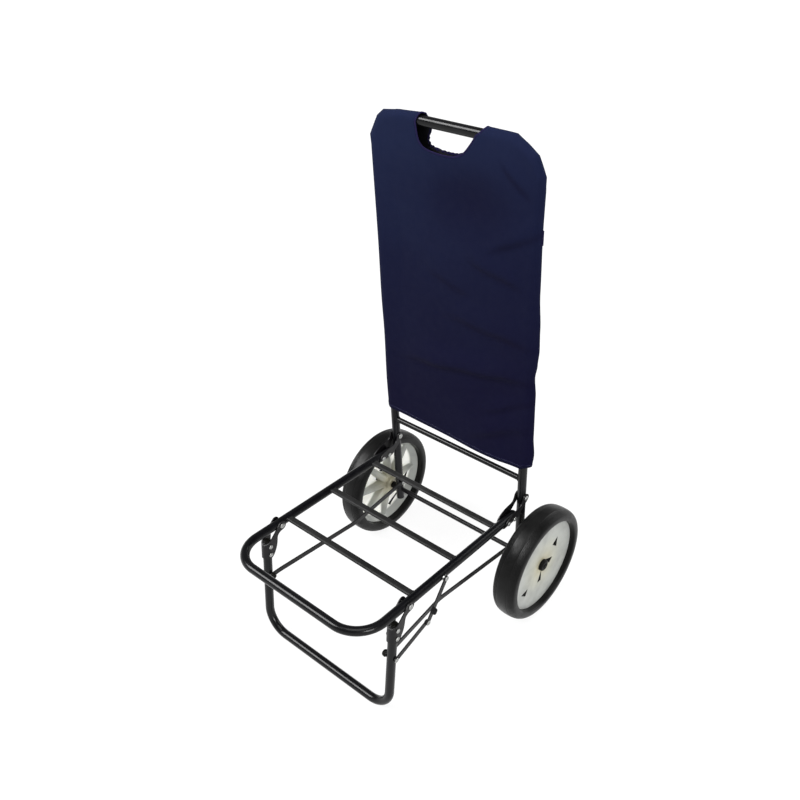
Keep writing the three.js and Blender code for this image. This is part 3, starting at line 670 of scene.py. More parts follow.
def build_platform(coat, matt, plastic):
    line = u_line(FRAME_HALF, RAIL_REAR, RAIL_NOSE, PLATFORM_CORNER, 20)
    stand_in("platform_frame", bent_tube(line, PLATFORM), coat)
    for name, side in SIDES:
        add_plug(f"rail_plug_{name}", PLATFORM(side * FRAME_HALF, RAIL_REAR + GAP, 0), -REARWARD, plastic)

    loop = flat_oval(CROSSBAR_WIDE, CROSSBAR_TALL)
    reach = FRAME_HALF - TUBE_R + BAR_SINK

    def seam(_, z):
        return FRAME_HALF - math.sqrt(TUBE_R ** 2 - (z + CROSSBAR_LIFT) ** 2)

    beads = []
    for name in ("rear", "middle", "front"):
        low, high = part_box(f"crossbar_{name}")
        centre = Vector((0, (low.y + high.y) / 2, RAIL_Z + CROSSBAR_LIFT))
        place = Place(centre, ACROSS, REARWARD)
        rings = [[place(x, y, z) for y, z in loop] for x in (-reach, reach)]
        stand_in(f"crossbar_{name}", skin(rings), matt)
        for _, side in SIDES:
            beads.append(weld_bead(Place(centre, ACROSS * side, REARWARD, UPWARD),
                                   lambda turn: loop[int(turn / TURN * len(loop)) % len(loop)],
                                   seam, radius=0.0014, steps=len(loop), seed=side + len(beads)))
    dress(plain_object("platform_welds", *joined(*beads)), coat, "platform", "black_paint")


def build_leg(coat, plastic):
    foot = TUBE_R / math.cos(TILT)
    stand_in("leg_loop", bent_tube(u_line(FRAME_HALF, LEG_TOP, foot, LEG_CORNER), LEG), coat)
    for name, side in SIDES:
        add_plug(f"leg_plug_{name}", LEG(side * FRAME_HALF, LEG_TOP + GAP, 0), -LEG_UP, plastic)


# ------------------------------------------------------------------ hinge brackets
CHANNEL_IN = TUBE_R + GAP
CHANNEL_OUT = CHANNEL_IN + SHEET
RIVET_GRIP = 2 * (CHANNEL_OUT + GAP)


def bracket_outline():
    """Side view (u, v) of a bracket: u along its tube from the first rivet, v towards the pivot."""
    u, v, lobe = PIVOT_U, PIVOT_V, 0.0095
    points = [(-0.011, -0.006)]
    points += arc(-0.005, -0.007, 0.006, math.pi, math.pi * 1.5, 6)
    points += [(0.022, -0.013), (0.029, -0.0035)]
    points += arc(u, v, lobe, -math.pi * 0.283, math.pi * 0.93, 18)
    points += curve(points[-1], (0.044, 0.019), (0.031, 0.0185), 8)
    points += curve(points[-1], (0.014, 0.018), (0.002, 0.0115), 8)
    points += curve(points[-1], (-0.011, 0.006), (-0.011, -0.006), 8)[:-1]
    return points


def channel_section():
    """(v, w) of the folded sheet: round under the tube, and two straight sides."""
    tall = 0.06
    outer = arc(0, 0, CHANNEL_OUT, QUARTER, 3 * QUARTER, 24)
    inner = arc(0, 0, CHANNEL_IN, 3 * QUARTER, QUARTER, 24)
    return [(tall, CHANNEL_OUT), *outer, (tall, -CHANNEL_OUT),
            (tall, -CHANNEL_IN), *inner, (tall, CHANNEL_IN)]


def bracket_mesh():
    """One bracket about the origin, with u along X, v along Y and w along Z."""
    past_sides, past_ends = 0.03, 0.08
    body = plain_object("bracket_body", *prism(bracket_outline(), -past_sides, past_sides, PLAIN))
    fold = plain_object("bracket_fold", *prism(channel_section(), -past_ends, past_ends, SIDEWAYS))
    body = cut(body, fold, "INTERSECT")
    mesh = body.data
    bpy.data.objects.remove(body)
    return mesh


def build_brackets(steel, metal):
    mesh = bracket_mesh()
    start = {"rear": FOLD_PIVOT - Vector((0, PIVOT_U, PIVOT_V)),
             "front": LEG_PIVOT - LEG_UP * PIVOT_U + LEG_OUT * PIVOT_V}
    axes = {"rear": (REARWARD, UPWARD), "front": (LEG_UP, -LEG_OUT)}
    pivot = double_rivet(RIVET_GRIP, PIN_HEAD_R, PIN_SHANK_R)
    for end, (u, v) in axes.items():
        turned = Matrix((u, v, u.cross(v))).transposed().to_4x4()
        for name, side in SIDES:
            at = start[end] + ACROSS * (side * FRAME_HALF)
            piece = add_object(f"{end}_bracket_{name}_fine", mesh.copy())
            piece.data.transform(Matrix.Translation(at) @ turned)
            stand_for(f"{end}_bracket_{name}", bevelled(piece, 0.00055), steel)
            for i in (0, 1):
                add_rivet(f"{end}_rivet_{name}_{i + 1}", at + u * (RIVET_STEP * i),
                          double_rivet(RIVET_GRIP, RIVET_HEAD_R), metal)
    for name, side in SIDES:
        add_rivet(f"fold_pin_{name}", FOLD_PIVOT + ACROSS * (side * FRAME_HALF), pivot, metal)
        add_rivet(f"leg_pin_{name}", LEG_PIVOT + ACROSS * (side * FRAME_HALF), pivot, metal)


# ------------------------------------------------------------------ links and stay
def flat_bar(length, wide, thick, bow, place):
    """A flat bar with round ends over (0, 0) and (length, 0). Its face is w = 0, and bow(u) shifts it."""
    r, edge, middle = wide / 2, 0.0005, 44
    stations = [-r * math.cos(QUARTER * i / 9) for i in range(9)]
    stations += [length * i / middle for i in range(middle + 1)]
    stations += [length + r * math.sin(QUARTER * i / 9) for i in range(1, 10)]
    rings = []
    for u in stations:
        over = -u if u < 0 else max(u - length, 0)
        half = math.sqrt(max(r * r - over * over, 0)) + 0.00002
        tight = min(edge, half * 0.5)
        w = bow(min(max(u, 0), length))
        loop = [(half - tight, 0), (half, -tight), (half, -thick + tight), (half - tight, -thick),
                (-half + tight, -thick), (-half, -thick + tight), (-half, -tight), (-half + tight, 0)]
        rings.append([place(u, v, w + z) for v, z in loop])
    return skin(rings)


def link_bow(length, bend):
    """The link's sideways shift: flat ends, and straight slopes that meet at its bend, each corner eased."""
    flat, ease = 0.016, 0.05

    def bow(u):
        t = (u - flat) / (bend - flat) if u < bend else (length - flat - u) / (length - flat - bend)
        t = clamp(t)
        if t < ease:
            t = t * t / (2 * ease)
        elif t > 1 - ease:
            t = 1 - ease - (1 - t) ** 2 / (2 * ease)
        else:
            t -= ease / 2
        return -LINK_BOW * t / (1 - ease)
    return bow


def build_links(steel, metal, plastic):
    reach = (LINK_FRONT - LINK_REAR).length
    ahead = (LINK_FRONT - LINK_REAR).normalized()
    face = FRAME_HALF - TUBE_R - LINK_CLEAR
    inner = face - LINK_THICK - GAP
    grip = FRAME_HALF + TUBE_R + GAP - inner
    above = Vector((0, -ahead.z, ahead.y))
    cap = [(0, 0.0053), (0, 0.0072), (0.0042, 0.0068), (0.0062, 0.0054), (0.007, 0.0034), (0.007, 0.0018),
           (0.0026, 0.0018), (0.0026, 0.0053)]
    for name, side in SIDES:
        place = Place(LINK_REAR + ACROSS * (side * face), ahead, above, (side, 0, 0))
        bend = LINK_BEND if side < 0 else reach - LINK_BEND
        shape = flat_bar(reach, LINK_WIDE, LINK_THICK, link_bow(reach, bend), place)
        stand_in(f"fold_link_{name}", shape, steel, 30)
        add_rivet(f"link_rear_pin_{name}", LINK_REAR + ACROSS * (side * (inner + grip / 2)),
                  double_rivet(grip, LINK_HEAD_R), metal)
        at = LINK_FRONT + ACROSS * (side * inner)
        add_rivet(f"link_front_pin_{name}", at, half_rivet(LINK_THICK + GAP, LINK_HEAD_R), metal, -side)
        shape = lathe(cap, Place(at, ACROSS * -side, REARWARD * -side), 32)
        dress(plain_object(f"link_cap_{name}", *shape), plastic, f"link_{name}", "black_plastic")


def build_stay(steel, metal):
    chord = STAY_TOP - LINK_FRONT
    sag = math.sqrt(STAY_HALF ** 2 - chord.length_squared / 4)
    middle = LINK_FRONT + chord / 2 + Vector((0, chord.z, -chord.y)).normalized() * sag
    layer = STAY_THICK + GAP
    inside = FRAME_HALF + TUBE_R + LINK_CLEAR
    outside = inside + layer

    def bar(start, end, x):
        way = (end - start).normalized()
        place = Place(start + ACROSS * (x + STAY_THICK), way, Vector((0, -way.z, way.y)), ACROSS)
        return flat_bar(STAY_HALF, LINK_WIDE, STAY_THICK, lambda u: 0.0, place)

    stand_in("stay_lower", bar(LINK_FRONT, middle, inside), steel, 30)
    way = (middle - STAY_TOP).normalized()
    side = Vector((0, -way.z, way.y))
    tab_at = STAY_TOP + way * (STAY_HALF - 0.027) - side * (LINK_WIDE / 2) + ACROSS * outside
    tab_place = Place(tab_at, way, ACROSS, side)
    outline = [(-0.0065, 0), (0.0065, 0), *arc(0.0025, 0.008, 0.004, 0, QUARTER, 6),
               *arc(-0.0025, 0.008, 0.004, QUARTER, math.pi, 6)]
    shape = joined(bar(STAY_TOP, middle, outside), prism(outline, 0, STAY_THICK, tab_place))
    upper = bevelled(plain_object("stay_upper_fine", *shape), 0.0004, 2, 60)
    stand_for("stay_upper", upper, steel, 30)

    leg_side = FRAME_HALF - TUBE_R - GAP
    left_head = FRAME_HALF + TUBE_R + GAP
    upper_head = outside + layer

    def pin(node, at, head, depth, facing=1):
        add_rivet(node, at + ACROSS * head, half_rivet(depth, STAY_HEAD_R), metal, facing)

    pin("leg_link_pin_right", LINK_FRONT, outside, outside - leg_side)
    pin("leg_link_pin_left", LINK_FRONT, -left_head, left_head - leg_side, -1)
    pin("stay_top_pin", STAY_TOP, upper_head, upper_head - leg_side)
    washer = [(0, 0.0027), (0, 0.0057), (0.0003, 0.006), (0.0021, 0.006), (0.0024, 0.0057), (0.0024, 0.0027)]
    washer_at = Place(STAY_TOP + ACROSS * (inside - GAP), ACROSS, REARWARD)
    stand_in("stay_washer", lathe(washer, washer_at, 32), metal)
    pin("stay_mid_pin_outer", middle, upper_head, STAY_THICK)
    pin("stay_mid_pin_inner", middle, inside - GAP, STAY_THICK, -1)


# ------------------------------------------------------------------ wheels
def smooth_profile(points, steps):
    """A Catmull-Rom line through the points."""
    made = []
    padded = [points[0], *points, points[-1]]
    for i in range(1, len(padded) - 2):
        p0, p1, p2, p3 = (Vector(p) for p in padded[i - 1:i + 3])
        for k in range(steps):
            t = k / steps
            made.append(tuple(0.5 * (2 * p1 + (p2 - p0) * t + (2 * p0 - 5 * p1 + 4 * p2 - p3) * t * t
                                     + (3 * p1 - p0 - 3 * p2 + p3) * t ** 3)))
    made.append(tuple(points[-1]))
    return made


RING_DEEP = 0.0006
RINGS_FROM, RINGS_TO = 0.1195, 0.1264


def tyre_profile():
    """Half of a tyre's section, from its lip to the middle of its tread, with fine rings on the shoulder."""
    half = [(DISC_X + 0.0004, 0.1038), (0.02, 0.1041), (0.0243, 0.1045), (0.0262, 0.1057), (0.027, 0.1085),
            (0.027, 0.1125), (0.0262, 0.1168), (0.0241, 0.1204), (0.0206, 0.1233), (0.0155, 0.1255),
            (0.008, 0.1267), (0, 0.127)]
    ringed = []
    for i, (x, r) in enumerate(smooth_profile(half, 7)):
        groove = RING_DEEP if RINGS_FROM < r < RINGS_TO and i % 3 == 0 else 0
        ringed.append((x - groove * 0.5, r - groove))
    return ringed


def build_tyre(name, place, paint):
    half = tyre_profile()
    stand_in(f"tyre_{name}", lathe(half + [(-x, r) for x, r in reversed(half[:-1])], place, 128), paint, 60)


def hub_profile():
    """A hub's section about its axle: the outer face to the rim, then the inner side to the boss."""
    bore, edge = 0.00535, 0.0006
    face = smooth_profile([(0.0129, BOSS_R + 0.0006), (0.0136, 0.019), (0.0145, 0.03), (0.015, 0.045),
                           (0.015, 0.07), (0.015, HUB_R - 0.001)], 4)
    front = [(0.013, bore), (0.013, BOSS_R - 0.0006), (0.0126, BOSS_R), *face, (0.0148, HUB_R)]
    rim = [(HUB_BACK + edge, HUB_R), (HUB_BACK, HUB_R - edge), (HUB_BACK, HUB_R - 0.0022),
           (HUB_BACK + edge, HUB_R - 0.0028), (0.0035, 0.093), (0.0062, 0.0905), (0.0075, 0.0875),
           (0.0079, 0.083)]
    boss = [(0.008, 0.032), (0.0074, 0.0245), (0.004, 0.0187), (-0.006, 0.0172),
            (BOSS_BACK + 0.0015, BOSS_R + edge), (BOSS_BACK, BOSS_R - edge), (BOSS_BACK, bore)]
    return front + rim + boss


def hub_arm(turn):
    """One ridge of the star behind the disc: broad at the boss, narrow at the rim, with a rounded back."""
    rings = []
    steps, start, end, face = 14, 0.0125, 0.0995, 0.0095
    for i in range(steps + 1):
        t = i / steps
        r = start + (end - start) * t
        wide = 0.0088 - 0.0036 * t ** 0.7
        back = -0.0165 + 0.0125 * t ** 1.2
        loop = [(face, -wide * 1.25), (face, wide * 1.25)]
        for k in range(9):
            a = math.pi * k / 8
            loop.append((back + 0.007 * (1 - math.sin(a)), wide * math.cos(a) * (1 if 0 < k < 8 else 1.06)))
        rings.append([(x, r, y) for x, y in loop])
    spun = [[(x, r * math.cos(turn) - y * math.sin(turn), r * math.sin(turn) + y * math.cos(turn))
             for x, r, y in ring] for ring in rings]
    return skin(spun)


def hub_slot(corners, side):
    """A three-cornered slot through the disc. Its corners are (Y, Z) in mm from the axle."""
    outline = [(side * y / 1000, z / 1000) for y, z in corners]
    if side < 0:
        outline.reverse()
    behind_disc, past_face = 0.0035, 0.05
    return prism(outline, behind_disc, past_face, SIDEWAYS)


SLOTS = {
    "right": [((31, 34), (49, 46), (48, 20)), ((12, 5), (37, -2), (27, -14)),
              ((0, -14), (-14, -42), (-1, -43)), ((-50, -33), (-73, -37), (-56, -50))],
    "left": [((88, -22), (79, -42), (71, -36)), ((52, -65), (55, -69), (20, -90), (15, -85)),
             ((-31, 25), (-25, 23), (-17, 8), (-20, 5), (-25, 11)), ((-12, 33), (-5, 29), (-9, 25))],
}
HUB_ARMS = 8
ARM_START = {"right": 0, "left": 175}


def build_hub(name, side, centre, paint, painted_dark):
    """A hub, modelled about the origin with its outer face towards +X and then stood on its axle."""
    hub = plain_object(f"hub_{name}_fine", *lathe(hub_profile(), PLAIN, 112))
    hub.data.materials.append(paint.material)
    hub.data.materials.append(painted_dark.material)
    for i in range(HUB_ARMS):
        world = math.radians(ARM_START[name] + 360 / HUB_ARMS * i)
        turn = world if side > 0 else math.pi - world
        hub = cut(hub, plain_object("arm", *hub_arm(turn)), "UNION")
    cutter = plain_object("slots", *joined(*[hub_slot(corners, side) for corners in SLOTS[name]]))
    # The slots' walls take the near-black paint: painted shade for the cavity behind them.
    cutter.data.materials.append(painted_dark.material)
    hub = cut(hub, cutter, "DIFFERENCE")
    mesh = hub.data
    lay_uv(mesh, "radius_and_depth", lambda _, p: (math.hypot(p.y, p.z), p.x))
    mesh.transform(Matrix.Translation(centre) @ Matrix.Rotation(0 if side > 0 else math.pi, 4, "Z"))
    stand_for(f"hub_{name}", hub, paint, 30)


def build_wheels(ivory, painted_dark, tyre, plastic):
    inside = FRAME_HALF + TUBE_R + GAP
    outside = WHEEL_X + BOSS_BACK - GAP
    foot = WHEEL_X + DISC_X - 0.002 + GAP
    end = WHEEL_X + DISC_X + 0.005
    spacer = [(inside, 0.0054), (inside, 0.0075), (inside + 0.0005, 0.008), (outside - 0.0005, 0.008),
              (outside, 0.0075), (outside, 0.0054)]
    cap = [(foot, 0.0053), (foot, 0.0126), (foot + 0.0006, 0.013), (end - 0.0012, 0.0127),
           (end + 0.0004, 0.0118), (end + 0.0014, 0.0098), (end + 0.001, 0.0072), (end + 0.0002, 0.0062),
           (end + 0.0008, 0.0052), (end + 0.0024, 0.0036), (end + 0.003, 0.0002), (end + GAP, 0.0002),
           (end + GAP, 0.0053)]
    for name, side in SIDES:
        centre = JOINT_AT[f"wheel_{name}_spin"]
        build_tyre(name, Place(centre, ACROSS * side, REARWARD * side), tyre)
        build_hub(name, side, centre, ivory, painted_dark)
        place = Place(BACK.origin, ACROSS * side, REARWARD * side)
        stand_in(f"wheel_spacer_{name}", lathe(spacer, place, 36), plastic)
        stand_in(f"axle_cap_{name}", lathe(cap, place, 48), plastic, 30)


# ------------------------------------------------------------------ cloth cover
CLOTH = 0.0011
SLEEVE_R = TUBE_R + 0.0012
CELL = 0.0055
WRAP_STEPS = 10
COVER_TOP = along(HANDLE_Z)
COVER_HEM = along(COVER_HEM_Z)
BEND_S = COVER_TOP - BACK_CORNER
NECK_LEFT, NECK_RIGHT = -0.071, 0.054
NECK_SPREAD = {-1: -0.002, 1: 0.015}      # the neck is wider on top of the handle bar
NECK_POINTS = ((NECK_LEFT, COVER_TOP), (-0.0665, 0.825), (-0.0595, 0.8145), (-0.049, 0.8095),
               (-0.027, 0.8065), (-0.008, 0.8063), (0.008, 0.8077), (0.021, 0.8125), (0.031, 0.8195),
               (0.0435, 0.8345), (NECK_RIGHT, COVER_TOP))
# How far each side of the sleeve is out past its tube, by distance along the upright: slack low down.
SLACK = {
    1: ((0.225, 0.0085), (0.27, 0.0125), (0.312, 0.0085), (0.403, 0.0075), (0.443, 0.0035), (0.47, 0.0075),
        (0.5, 0.0098), (0.54, 0.0085), (0.611, 0.0035), (0.72, 0.0018), (0.8, 0.003), (0.9, 0.003)),
    -1: ((0.225, 0.004), (0.3, 0.0055), (0.42, 0.0022), (0.5, 0.004), (0.62, 0.0018), (0.8, 0.003),
         (0.9, 0.003)),
}
# The sewn corners' kinks: degrees up from the side, and distance from the bend's centre.
CORNER_KINKS = {
    1: ((0, 0.0706), (11.4, 0.0723), (38.6, 0.0719), (78.3, 0.0722), (90, 0.0711)),
    -1: ((0, 0.071), (13.3, 0.0754), (44.5, 0.0751), (57.6, 0.0747), (90, 0.0682)),
}
HEM_CURL = {1: 0.009, -1: 0.003}  # how far the hem rides up at each side
HEM_CURL_TALL = 0.06
SHOULDER_RISE = 0.0033           # how far the cloth stands off the handle bar beside the neck
BACK_NECK_IN = 0.016             # the back panel's neckline is narrower on the left
BACK_SHIFT = 0.4                 # how far along the flat cloth the back panel's middle lies


def eased(table, at):
    """The table's value at a place, with smooth steps between its rows."""
    for (a, low), (b, high) in zip(table, table[1:]):
        if at <= b:
            t = clamp((at - a) / (b - a))
            return low + (high - low) * t * t * (3 - 2 * t)
    return table[-1][1]


def heading(degrees):
    return Vector((math.cos(math.radians(degrees)), math.sin(math.radians(degrees))))


def corner_reach(degrees, side):
    """From the bend's centre to the sewn corner's edge: straight between kinks, and clear of the tube."""
    ray = heading(degrees)
    kinks = [(a, heading(a) * reach) for a, reach in CORNER_KINKS[side]]
    p, q = next((p, q) for (_, p), (b, q) in zip(kinks, kinks[1:]) if degrees <= b)
    way = q - p
    distance = (p.x * way.y - p.y * way.x) / (ray.x * way.y - ray.y * way.x)
    return max(distance, BACK_CORNER + SLEEVE_R)


def side_chain(side):
    """One side of the sleeve on the tube's centre line, from the hem over the corner to the neck.

    Each row is (place, outward direction, how far the cloth is past the tube, share of the shoulder)."""
    rows = []
    count = int((BEND_S - COVER_HEM) / CELL)
    for i in range(count):
        s = COVER_HEM + (BEND_S - COVER_HEM) * i / count
        rows.append((Vector((side * FRAME_HALF, s)), Vector((side, 0)), eased(SLACK[side], s), 0.0))
    angles = {round(90 * i / 18, 1) for i in range(19)} | {a for a, _ in CORNER_KINKS[side]}
    start = FRAME_HALF - BACK_CORNER
    centre = Vector((side * start, BEND_S))
    for degrees in sorted(angles):
        out = heading(degrees) * Vector((side, 1))
        past = corner_reach(degrees, side) - BACK_CORNER - SLEEVE_R
        rows.append((centre + out * BACK_CORNER, out, past, 0.0))
    end = abs(NECK_RIGHT if side > 0 else NECK_LEFT)
    corner = CORNER_KINKS[side][-1][1] - BACK_CORNER - SLEEVE_R
    count = round((start - end) / CELL)
    for i in range(1, count + 1):
        t = i / count
        x = start + (end - start) * t
        rise = corner + (SHOULDER_RISE - corner) * t
        rows.append((Vector((side * x, COVER_TOP)), Vector((0, 1)), rise, t))
    return rows


def inside(p, loop):
    hit = False
    for a, b in zip(loop, loop[1:] + loop[:1]):
        if (a.y > p.y) != (b.y > p.y) and p.x < a.x + (p.y - a.y) / (b.y - a.y) * (b.x - a.x):
            hit = not hit
    return hit


def panel(loop):
    """A flat triangulated panel inside the loop: its points, the loop's own points first, and its faces."""
    inner = []
    rise = CELL * 0.87
    clear = CELL * 0.6
    for j in range(1, int((COVER_TOP - COVER_HEM) / rise)):
        for i in range(int(2 * FRAME_HALF / CELL) + 1):
            p = Vector((-FRAME_HALF + (i + 0.25 + 0.5 * (j % 2)) * CELL, COVER_HEM + j * rise))
            if inside(p, loop) and min((p - q).length_squared for q in loop) > clear ** 2:
                inner.append(p)
    count = len(loop)
    flat, _, faces, *_ = delaunay_2d_cdt(loop + inner, [], [list(range(count))], 1, 1e-7)
    return flat, faces


def crease(x, s, start, end, deep, wide):
    """A fold from start to end: the cloth bulges above the line and turns in sharply under it.

    Returns how far the cloth stands out there, and how much painted shade the line carries."""
    lean = (end[1] - start[1]) / (end[0] - start[0])
    line = s - start[1] - lean * (x - start[0]) - 0.0015 * math.sin(x * 60 + start[1] * 50)
    t = (x - start[0]) / (end[0] - start[0])
    fade = clamp((t + 0.15) / 0.4) * clamp((1.2 - t) / 0.3)
    above = (line - wide) / (wide * (3.5 if line > wide else 1))
    # Painted shade: the darkening is strongest just under the line, where the cloth turns in.
    under = line / (wide * 0.8)
    return deep * fade * math.exp(-above * above), fade * math.exp(-under * under)


# Each crease: its two ends (x, distance up the upright), depth and width.
FRONT_CREASES = (
    ((-0.11, 0.381), (0.168, 0.43), 0.0070, 0.0085), ((0.085, 0.336), (0.19, 0.393), 0.0045, 0.0065),
    ((0.06, 0.268), (0.19, 0.334), 0.0060, 0.0100), ((0.0, 0.509), (0.16, 0.504), 0.0040, 0.0090),
    ((0.045, 0.633), (0.14, 0.613), 0.0040, 0.0080), ((0.088, 0.662), (0.185, 0.716), 0.0045, 0.0075),
    ((-0.05, 0.585), (0.03, 0.570), 0.0020, 0.0090), ((0.105, 0.815), (0.155, 0.775), 0.0022, 0.0070))
BACK_CREASES = (
    ((-0.17, 0.44), (0.0, 0.465), 0.0044, 0.0080), ((-0.02, 0.33), (0.15, 0.30), 0.0044, 0.0090),
    ((0.03, 0.61), (0.17, 0.59), 0.0030, 0.0100), ((-0.15, 0.27), (0.02, 0.285), 0.0030, 0.0080))
HOLLOW = (0.035, 0.742, 0.085, 0.052, 0.005)   # below the neckline, dented and painted with shade: x, place, half width, half height, depth


def folds_at(x, s, front):
    """How far the creases push a panel out, and how much painted shade they carry."""
    each = [crease(x, s, *row) for row in (FRONT_CREASES if front else BACK_CREASES)]
    return sum(out for out, _ in each), sum(painted_dark for _, painted_dark in each)


def hollow_at(x, s):
    mid_x, mid_s, half_x, half_s, _ = HOLLOW
    return math.exp(-((x - mid_x) / half_x) ** 2 - ((s - mid_s) / half_s) ** 2)


def painted_shade_at(x, s, front):
    """Painted shade: how much darker the cloth is painted than its plain tone, in its creases and in the
    hollow below the neckline. On the back panel it is negative, and paints the tone lighter.
    """
    return 0.18 * folds_at(x, s, front)[1] + (0.25 * hollow_at(x, s) if front else -0.1)


def stand_out(x, s, front):
    """How far a panel stands out from flat: slack between the uprights, and its creases."""
    seed = 0.0 if front else 9.4
    slack = noise.noise(Vector((x * 6.5 + seed, s * 4.5, seed))) * 0.0065
    broad = noise.noise(Vector((x * 2.6 - seed, s * 2.0, 3.1 + seed))) * 0.009
    if front:
        broad -= HOLLOW[-1] * hollow_at(x, s)
    taut = min((FRAME_HALF - abs(x)) / 0.045, 1) if abs(x) < FRAME_HALF else 0
    held = clamp((COVER_TOP - s) / 0.06)
    return taut * held * (slack + broad - 0.0012) + folds_at(x, s, front)[0] * held * (0.35 + 0.65 * taut)


def neck_in(x, s):
    """How far the back panel is drawn in towards the middle, beside the left of the neckline."""
    high = clamp((s - COVER_TOP + 0.045) / 0.03)
    near = max(0, 1 - abs(x - NECK_LEFT) / 0.05)
    return BACK_NECK_IN * high * near


def on_panel(x, s, front, lift=0.0):
    sign = 1 if front else -1
    drawn = 0 if front else neck_in(x, s)
    return BACK(x + drawn, s, sign * (SLEEVE_R + stand_out(x, s, front) + lift))


def on_wrap(row, turn, side, lift=0.0):
    """A point of the cloth round the tube: turn runs from 0 at the front to pi at the back."""
    place, out, slack, shoulder = row
    swing = math.sin(turn)
    reach = (SLEEVE_R + lift) * swing + slack * swing ** 2
    drawn = neck_in(place.x, place.y) * turn / math.pi
    x = place.x + out.x * reach + NECK_SPREAD[side] * shoulder * swing + drawn
    low = max(0, 1 - (place.y - COVER_HEM) / HEM_CURL_TALL) ** 2
    s = place.y + out.y * reach + HEM_CURL[side] * swing * low
    share = math.cos(turn)
    off = on_panel(place.x, place.y, share >= 0, lift) - BACK(place.x, place.y, 0)
    return BACK(x, s, share * off.dot(UPRIGHT_OUT) * (1 if share >= 0 else -1))


def cover_shape():
    """Points, faces and flat places of the sleeve, with its two chains and the neckline."""
    chains = {side: side_chain(side) for side in (-1, 1)}
    neck = [Vector(p) for p in smooth_profile(NECK_POINTS, 4)][1:-1]
    left = [row[0] for row in chains[-1]]
    right = [row[0] for row in reversed(chains[1])]
    hem_count = int(2 * FRAME_HALF / CELL)
    hem = [Vector((FRAME_HALF - 2 * FRAME_HALF * i / hem_count, COVER_HEM)) for i in range(1, hem_count)]
    loop = left + neck + right + hem
    flat, faces = panel(loop)
    points, made, places = [], [], []
    for front in (True, False):
        start = len(points)
        for p in flat:
            points.append(on_panel(p.x, p.y, front))
            places.append((p.x, p.y) if front else (BACK_SHIFT - p.x, p.y))
        made += [tuple(start + i for i in face) for face in faces]
    back_start = len(flat)
    firsts = {-1: list(range(len(left))), 1: [len(left) + len(neck) + i for i in range(len(right))][::-1]}
    for side, chain in chains.items():
        columns = []
        for row, front_index in zip(chain, firsts[side]):
            column = [front_index]
            for k in range(1, WRAP_STEPS):
                turn = math.pi * k / WRAP_STEPS
                column.append(len(points))
                points.append(on_wrap(row, turn, side))
                places.append((row[0].x + side * SLEEVE_R * turn, row[0].y))
            column.append(back_start + front_index)
            columns.append(column)
        for a, b in zip(columns, columns[1:]):
            made += [(a[k], a[k + 1], b[k + 1], b[k]) for k in range(WRAP_STEPS)]
    return points, made, places, chains, neck


def out_at(way, turn):
    """The direction out of the cloth round the tube, where way is the sleeve's own outward direction."""
    swing = math.sin(turn)
    return ACROSS * (way.x * swing) + UPRIGHT_UP * (way.y * swing) + UPRIGHT_OUT * math.cos(turn)


def edge_path(chains, neck, at_hem, lift=0.0, rise=0.0):
    """Points round the whole hem or neck, each with the direction out of the cloth there."""
    def beside(line, front):
        return [(on_panel(x, s, front, lift), UPRIGHT_OUT if front else -UPRIGHT_OUT) for x, s in line]

    def round_tube(row, side, turns):
        return [(on_wrap(row, turn, side, lift), out_at(row[1], turn).normalized()) for turn in turns]

    turns = [math.pi * k / WRAP_STEPS for k in range(1, WRAP_STEPS)]
    if at_hem:
        s, steps = COVER_HEM + rise, 90
        line = [(-FRAME_HALF + 2 * FRAME_HALF * i / steps, s) for i in range(steps + 1)]
        row = {side: (Vector((side * FRAME_HALF, s)), Vector((side, 0)), eased(SLACK[side], s), 0.0)
               for side in (-1, 1)}
    else:
        row = {side: chains[side][-1] for side in (-1, 1)}
        line = [(row[-1][0].x, COVER_TOP), *((p.x, p.y) for p in neck), (row[1][0].x, COVER_TOP)]
    return (beside(line, True) + round_tube(row[1], 1, turns)
            + beside(line[::-1], False) + round_tube(row[-1], -1, turns[::-1]))


def banded(rows, section, ruffle=0.0):
    """The band's shape along the rows of edge_path. ruffle makes its free edge wavy on the back panel."""
    pitch, widening, lag = 0.0085, 0.55, 0.6
    rings = []
    travelled = 0.0
    for i, (p, out) in enumerate(rows):
        ahead = (rows[(i + 1) % len(rows)][0] - rows[i - 1][0]).normalized()
        into = ahead.cross(out).normalized()
        travelled += (p - rows[i - 1][0]).length if i else 0
        at_back = max(0.0, out.dot(-UPRIGHT_OUT)) if ruffle else 0.0
        turn = travelled * TURN / pitch
        wave = ruffle * at_back * math.sin(turn)
        reach = 1 + widening * at_back * (1 + math.cos(turn + lag))
        rings.append([p + into * (x * reach) + out * (y + (wave if x < 0 else 0)) for x, y in section])
    return skin(rings, closed=True)


def stitch_run(rows, pitch=0.0036, long=0.0024, radius=0.00028):
    """Small stitches laid along a path, each a short bead with its ends sunk into the cloth."""
    shapes = []
    left = 0.0
    turns = [TURN * k / 6 for k in range(6)]
    bead = ((-0.5, 0.35, -0.0003), (-0.3, 1, 0.0001), (0.3, 1, 0.0001), (0.5, 0.35, -0.0003))
    for (a, out), (b, _) in zip(rows, rows[1:] + rows[:1]):
        step = (b - a).length
        if step < 1e-6:
            continue
        way = (b - a) / step
        side = way.cross(out).normalized()
        at = left
        while at < step:
            middle = a + way * at
            rings = []
            for t, r, h in bead:
                centre = middle + way * (long * t) + out * h
                rings.append([centre + (side * math.cos(turn) + out * math.sin(turn)) * radius * r
                              for turn in turns])
            shapes.append(skin(rings))
            at += pitch
        left = at - step
    return joined(*shapes)


